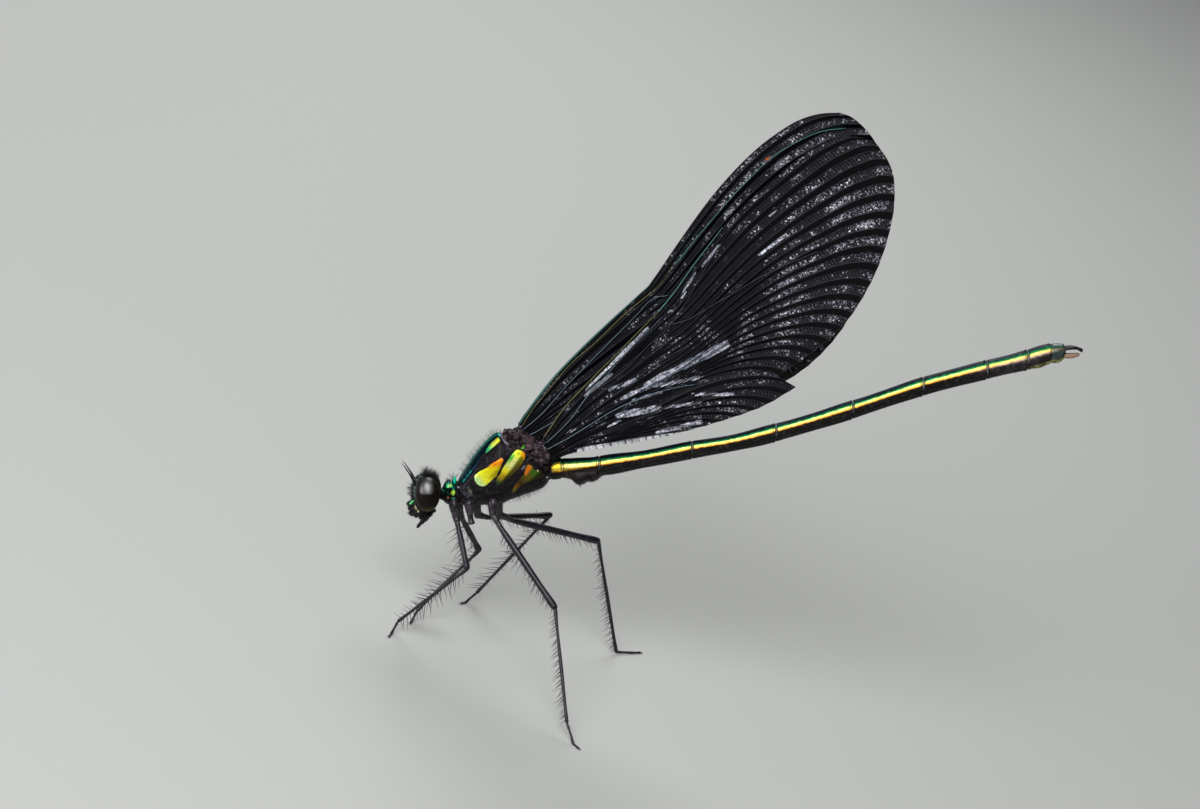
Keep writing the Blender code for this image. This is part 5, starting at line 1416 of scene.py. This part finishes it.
def leg_joints(leg):
    """The bars of one leg from hip to foot, each thicker where it meets the next."""
    coxa, trochanter, knee = leg["coxa"], leg["trochanter"], leg["knee"]
    ankle, toe, tip = foot_places(leg)
    hip = between(trochanter, knee, 0.12)
    thigh, shin = leg["thigh"], leg["shin"]
    first_foot = between(ankle, toe, 0.28)
    parts = [
        (bar(bead(coxa, trochanter, COXA), 34, 26, ridge=0.03), HIP_BROWN, 0.1),
        (bar(bead(between(coxa, trochanter, 0.86), hip, TROCHANTER), 22, 20), HIP_BROWN, 0.1),
        (bar(bead(hip, knee, ((-0.030, 0.02), (-0.022, 0.13), (-0.005, 0.19), (0.05, 0.84 * thigh),
                              (0.4, thigh), (0.8, 0.94 * thigh), (0.955, 1.06 * thigh),
                              (0.99, 0.95 * thigh), (1.012, 0.60 * thigh), (1.02, 0.02))),
             80, 22, ridge=0.06), LEG_BLACK, 0.25),
        (bar(bead(knee, ankle, ((-0.022, 0.02), (-0.016, 0.6 * shin), (0.0, 1.05 * shin),
                                (0.03, 1.12 * shin), (0.10, 0.92 * shin), (0.5, shin),
                                (0.9, 0.88 * shin), (0.98, 0.96 * shin), (1.0, 0.8 * shin),
                                (1.005, 0.02))), 80, 20, ridge=0.06), LEG_BLACK, 0.25),
        (bar(bead(ankle, first_foot, ((-0.1, 0.09), (0.4, 0.10), (1.0, 0.105), (1.08, 0.09))),
             10, 12), LEG_BLACK, 0.1),
        (bar([(*first_foot, 0.090), (*between(first_foot, toe, 0.5), 0.095), (*toe, 0.10),
              (*between(toe, tip, 0.12), 0.085)], 16, 12), LEG_BLACK, 0.1),
        (bar([(*between(toe, tip, 0.05), 0.085), (*between(toe, tip, 0.5), 0.080),
              (*between(toe, tip, 0.86), 0.09), (*between(toe, tip, 0.93), 0.06)], 14, 12),
         LEG_BLACK, 0.1),
    ]
    return parts


for name, leg in LEGS.items():
    points, faces, values = joined(leg_joints(leg))
    new_piece(f"leg_{name}_skin", points, faces, leg_cuticle, "leg_cuticle",
              [f"leg_{name}_{part}" for part in ("femur", "tibia", "tarsus")], values)

stub_parts = [
    (bar(bead(STUB[0], STUB[1], COXA), 34, 26, ridge=0.03), HIP_BROWN, 0.1),
    (bar(bead(STUB[1], STUB[2], ((-0.30, 0.04), (-0.20, 0.20), (0.05, 0.27), (0.35, 0.24),
                                 (0.62, 0.25), (0.84, 0.29), (0.97, 0.24), (1.00, 0.16),
                                 (0.94, 0.05))), 30, 18, ridge=0.04), HIP_BROWN, 0.1),
]
points, faces, values = joined(stub_parts)
new_piece("leg_middle_left_skin", points, faces, leg_cuticle, "leg_cuticle",
          ["leg_middle_left"], values)


# Foot claws
# Two small curved hooks of brown-black horn, side by side at the end of each foot. They are
# harder than the foot and set into its last joint.
CLAW_HORN = (0.03, 0.02, 0.015)
claw_horn = cuticle_finish("claw_horn", 0.26, 0.00003, 0.42, (), 0.15)


def claw_pair(leg):
    """Two tapering bars that part sideways, rise a little and dip to the floor at the tip."""
    _, toe, tip = foot_places(leg)
    ahead_of_foot, floor_up = unit(tip - toe), BODY_AXES[:, 2]
    sideways = unit(np.cross(ahead_of_foot, floor_up))
    start = between(toe, tip, 0.88)
    return [(bar([(*start, 0.05),
                  (*(start + 0.14 * ahead_of_foot + 0.07 * hand * sideways + 0.02 * floor_up), 0.035),
                  (*(start + 0.27 * ahead_of_foot + 0.13 * hand * sideways - 0.06 * floor_up), 0.008)],
                 8, 8), CLAW_HORN, 0.0) for hand in (-1, 1)]


points, faces, values = joined([claw for leg in LEGS.values() for claw in claw_pair(leg)])
new_piece("foot_claws", points, faces, claw_horn, "dark_cuticle", (), values)


# Leg bristles
# Stiff tapering bristles stand in two rows along the inner side of each thigh and shin and
# lean towards the foot, the basket in which it catches its prey.
BRISTLE_SPACING = 0.34
BRISTLE_LEAN = math.radians(32.0)


def hair_mesh(roots, directions, lengths, radii, bends, places):
    """Three-sided cones on curved lines, one for each root.

    A hair's middle line is root + length * (t * direction + t^2 * bend) and its radius falls
    evenly to its tip. Each hair has its own small patch of the map at its root's place.
    """
    t = np.array([0.0, 0.35, 0.70])
    side = unit(np.cross(directions, np.array([0.31, 0.87, 0.38])))
    other = np.cross(directions, side)
    angle = np.arange(3) * 2.0 * math.pi / 3.0
    spread = side[:, None] * np.cos(angle)[:, None] + other[:, None] * np.sin(angle)[:, None]
    line = (roots[:, None] + lengths[:, None, None]
            * (t[:, None] * directions[:, None] + t[:, None] ** 2 * bends[:, None]))
    width = radii[:, None] * (1.0 - 0.9 * t)
    rings = line[:, :, None] + width[:, :, None, None] * spread[:, None]
    tips = roots + lengths[:, None] * (directions + bends)
    count = len(roots)
    points = np.concatenate([rings.reshape(count, 9, 3), tips[:, None]], axis=1).reshape(-1, 3)
    around, following = np.arange(3), (np.arange(3) + 1) % 3
    quads = np.concatenate([np.stack([row + around, row + following, row + following + 3,
                                      row + around + 3], axis=1) for row in (0, 3)])
    ends = np.stack([6 + around, 6 + following, np.full(3, 9)], axis=1)
    ends = np.concatenate([ends, [[0, 2, 1]]])
    first = np.arange(count)[:, None, None] * 10
    faces = [(quads[None] + first).reshape(-1, 4), (ends[None] + first).reshape(-1, 3)]
    patch = np.concatenate([np.stack([np.tile(np.arange(3) / 3.0, 3), np.repeat(t, 3)], axis=1),
                            [[0.5, 1.0]]])
    maps = (places[:, None] + 0.003 * patch[None]).reshape(-1, 2)
    return points, outward(points, faces), maps


def hair_finish():
    """Near-black horn with a faint brown shade that changes from hair to hair."""
    finish = Finish("bristle", Specular_IOR_Level=0.4)
    shade = finish.noise(finish.object_place(), 700.0, 2.0)
    finish.give(Base_Color=finish.blend(shade, (0.004, 0.004, 0.004), (0.022, 0.017, 0.014)),
                Roughness=0.38 + 0.2 * shade)
    return finish


bristle = hair_finish()


def bristle_rows(start, end, inner, rows, span, length):
    """Roots, directions and lengths of the two rows on one bar."""
    start, end = np.asarray(start, float), np.asarray(end, float)
    reach = np.linalg.norm(end - start)
    along = (end - start) / reach
    inner = unit(inner - (inner @ along) * along)
    aside = np.cross(along, inner)
    count = int(reach * (span[1] - span[0]) / BRISTLE_SPACING)
    found = []
    for row in (-1, 1):
        share = span[0] + (span[1] - span[0]) * (np.arange(count) + 0.25 * (1 + row)) / count
        share = share + dice.normal(0.0, 0.004, count)
        turn_off = np.radians(rows[0] + row * rows[1] + dice.normal(0.0, 7.0, count))
        lean = BRISTLE_LEAN + dice.normal(0.0, 0.12, count)
        outward_way = (np.cos(turn_off)[:, None] * inner + np.sin(turn_off)[:, None] * aside)
        direction = np.cos(lean)[:, None] * outward_way + np.sin(lean)[:, None] * along
        lengths = length * dice.uniform(0.72, 1.08, count)
        lengths = lengths * (0.72 + 0.28 * np.sin(math.pi * np.clip(share, 0.0, 1.0)))
        found.append((start + share[:, None] * (end - start), direction, lengths, share))
    return [np.concatenate(group) for group in zip(*found)]


roots, ways, lengths, shares, owners = [], [], [], [], []
for number, leg in enumerate(LEGS.values()):
    to_ankle = np.subtract(leg["ankle"], leg["knee"])
    to_hip = np.subtract(leg["trochanter"], leg["knee"])
    for part, (start, end, inner, rows, span, length) in enumerate((
            (leg["trochanter"], leg["knee"], to_ankle, leg["femur_rows"], (0.16, 0.97),
             leg["thigh_bristle"]),
            (leg["knee"], leg["ankle"], to_hip, leg["tibia_rows"], (0.05, 0.98),
             leg["shin_bristle"]))):
        found = bristle_rows(start, end, inner, rows, span, length)
        for store, group in zip((roots, ways, lengths, shares), found):
            store.append(group)
        owners.append(np.full(len(found[0]), 2 * number + part))
roots, ways, lengths = (np.concatenate(group) for group in (roots, ways, lengths))
shares, owners = np.concatenate(shares), np.concatenate(owners)
heights = on_floor(roots + lengths[:, None] * ways)[:, 2] / MM
root_heights = on_floor(roots)[:, 2] / MM
room = np.where(heights < 0.2, (root_heights - 0.2) / np.maximum(root_heights - heights, 1e-6), 1.0)
lengths = lengths * np.clip(room, 0.15, 1.0)
places = np.stack([0.02 + 0.09 * owners + 0.05 * np.clip(shares, 0, 1),
                   0.1 + 0.8 * np.clip(shares, 0, 1)], axis=1)
points, faces, maps = hair_mesh(roots, ways, lengths, np.full(len(roots), 0.041),
                                dice.normal(0.0, 0.035, ways.shape), places)
new_piece("leg_bristles", points, faces, bristle, "leg_cuticle", (), None, {"OFBake": maps})


# Body hair
# Fine black hair stands up on the crown, brow and lips, along the crest of the thorax, under
# the body and on the hips, longest behind the eyes and shortest under the abdomen.
HAIR_RADIUS = 0.009


def grid_normals(grid):
    """Unit vectors out of a tube's grid: the cross product of its two directions."""
    along = np.gradient(grid, axis=0)
    around = np.roll(grid, -1, axis=1) - np.roll(grid, 1, axis=1)
    normal = unit(np.cross(around, along))
    centre = grid.mean(axis=1, keepdims=True)
    return normal * np.sign(((grid - centre) * normal).sum(-1, keepdims=True))


def scatter(grid, weight, count, length, lean, fold_over=0.10):
    """Hairs on the grid points that a draw by weight times area picks.

    Each points along the surface's normal plus the lean, with a small random turn.
    """
    normal = grid_normals(grid)
    area = np.linalg.norm(np.cross(np.gradient(grid, axis=0), np.gradient(grid, axis=1)), axis=-1)
    odds = (np.clip(weight, 0.0, None) * area).ravel()
    picked = dice.choice(odds.size, count, p=odds / odds.sum())
    row, column = np.divmod(picked, grid.shape[1])
    ways = unit(normal[row, column] + np.asarray(lean) + dice.normal(0.0, 0.13, (count, 3)))
    roots = grid[row, column] - 0.02 * normal[row, column] + dice.normal(0.0, 0.02, (count, 3))
    lengths = dice.uniform(0.7, 1.1, count) * length
    bends = dice.normal(0.0, fold_over, (count, 3))
    places = np.stack([0.02 + 0.95 * row / grid.shape[0], 0.02 + 0.95 * column / grid.shape[1]],
                      axis=1)
    return roots, ways, lengths, np.full(count, HAIR_RADIUS), bends, places


def hair_piece(name, groups, slot):
    merged = [np.concatenate(group) for group in zip(*groups)]
    points, faces, maps = hair_mesh(*merged)
    return new_piece(name, points, faces, bristle, slot, (), None, {"OFBake": maps})


crest = hump(place_y, 0.22) * (lift > 0)
body_z = place_z
hair_groups = [
    scatter(body_points, crest * slant * smoothstep(-4.15, -3.9, place_x), 160, 0.62,
            (-0.45, 0.0, 0.35)),
    scatter(body_points, hump(place_x + 4.60, 0.10) * (lift > 0.25), 70, 0.66, (-0.35, 0.0, 0.25)),
    scatter(body_points, hump(place_x + 5.10, 0.18) * (lift > 0.1), 50, 0.40, (-0.3, 0.0, 0.3)),
    scatter(body_points, hump(place_x - 1.4, 1.1) * (lift < -0.45), 330, 0.56, (0.25, 0.0, -0.5)),
    scatter(body_points, smoothstep(-4.2, -3.6, place_x) * (1 - smoothstep(-0.5, 0.1, place_x))
            * (lift < -0.35), 260, 0.36, (0.0, 0.0, -0.4)),
    scatter(body_points, hump(place_x - 6.1, 1.1) * (lift < -0.5), 200, 0.24, (0.3, 0.0, -0.3)),
    scatter(body_points, on_abdomen * (lift < -0.55), 620, 0.12, (0.5, 0.0, -0.2)),
    scatter(body_points, on_side * (lift < 0.6) * (plates[0] > 0) * (plates[1] > 0), 420, 0.17,
            (0.1, 0.0, 0.0)),
]
for start, end in [(leg["coxa"], leg["trochanter"]) for leg in LEGS.values()] + [STUB[:2]]:
    hip_grid = bar(bead(start, end, COXA[2:7]), 20, 24)
    hair_groups.append(scatter(hip_grid, np.ones(hip_grid.shape[:2]), 70, 0.26, (-0.2, 0.0, -0.5)))
hair_piece("body_hair", hair_groups, "metallic_cuticle")
placed_head = set_head(head_grid)
near_middle = 1.0 - smoothstep(0.9, 1.3, np.abs(head_y))
head_groups = [
    scatter(placed_head, near_middle * smoothstep(0.55, 0.9, head_z) * smoothstep(-0.35, 0.1, head_x),
            620, 0.90, (0.0, 0.0, 0.85)),
    scatter(placed_head, near_middle * smoothstep(0.3, 0.8, head_z) * (head_x < 0.1), 70, 0.36,
            (-0.3, 0.0, 0.7)),
    scatter(placed_head, near_middle * hump(head_z - 0.10, 0.42) * (head_x < -0.7), 130, 0.48,
            (-0.5, 0.0, 0.1)),
    scatter(placed_head, (head_x < -0.6) * (head_z < -1.15) * near_middle, 120, 0.24,
            (-0.3, 0.0, -0.1)),
    scatter(placed_head, (head_z < -1.2) * (head_x > -0.6), 130, 0.34, (0.0, 0.0, -0.5)),
    scatter(placed_head, (head_z > 0.4) * (head_x > 0.3) * 1.0, 160, 0.5, (0.6, 0.0, 0.4)),
]
hair_piece("head_hair", head_groups, "dark_cuticle")


{"cad": cad_box, "visual": [list(corner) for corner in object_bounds()]}
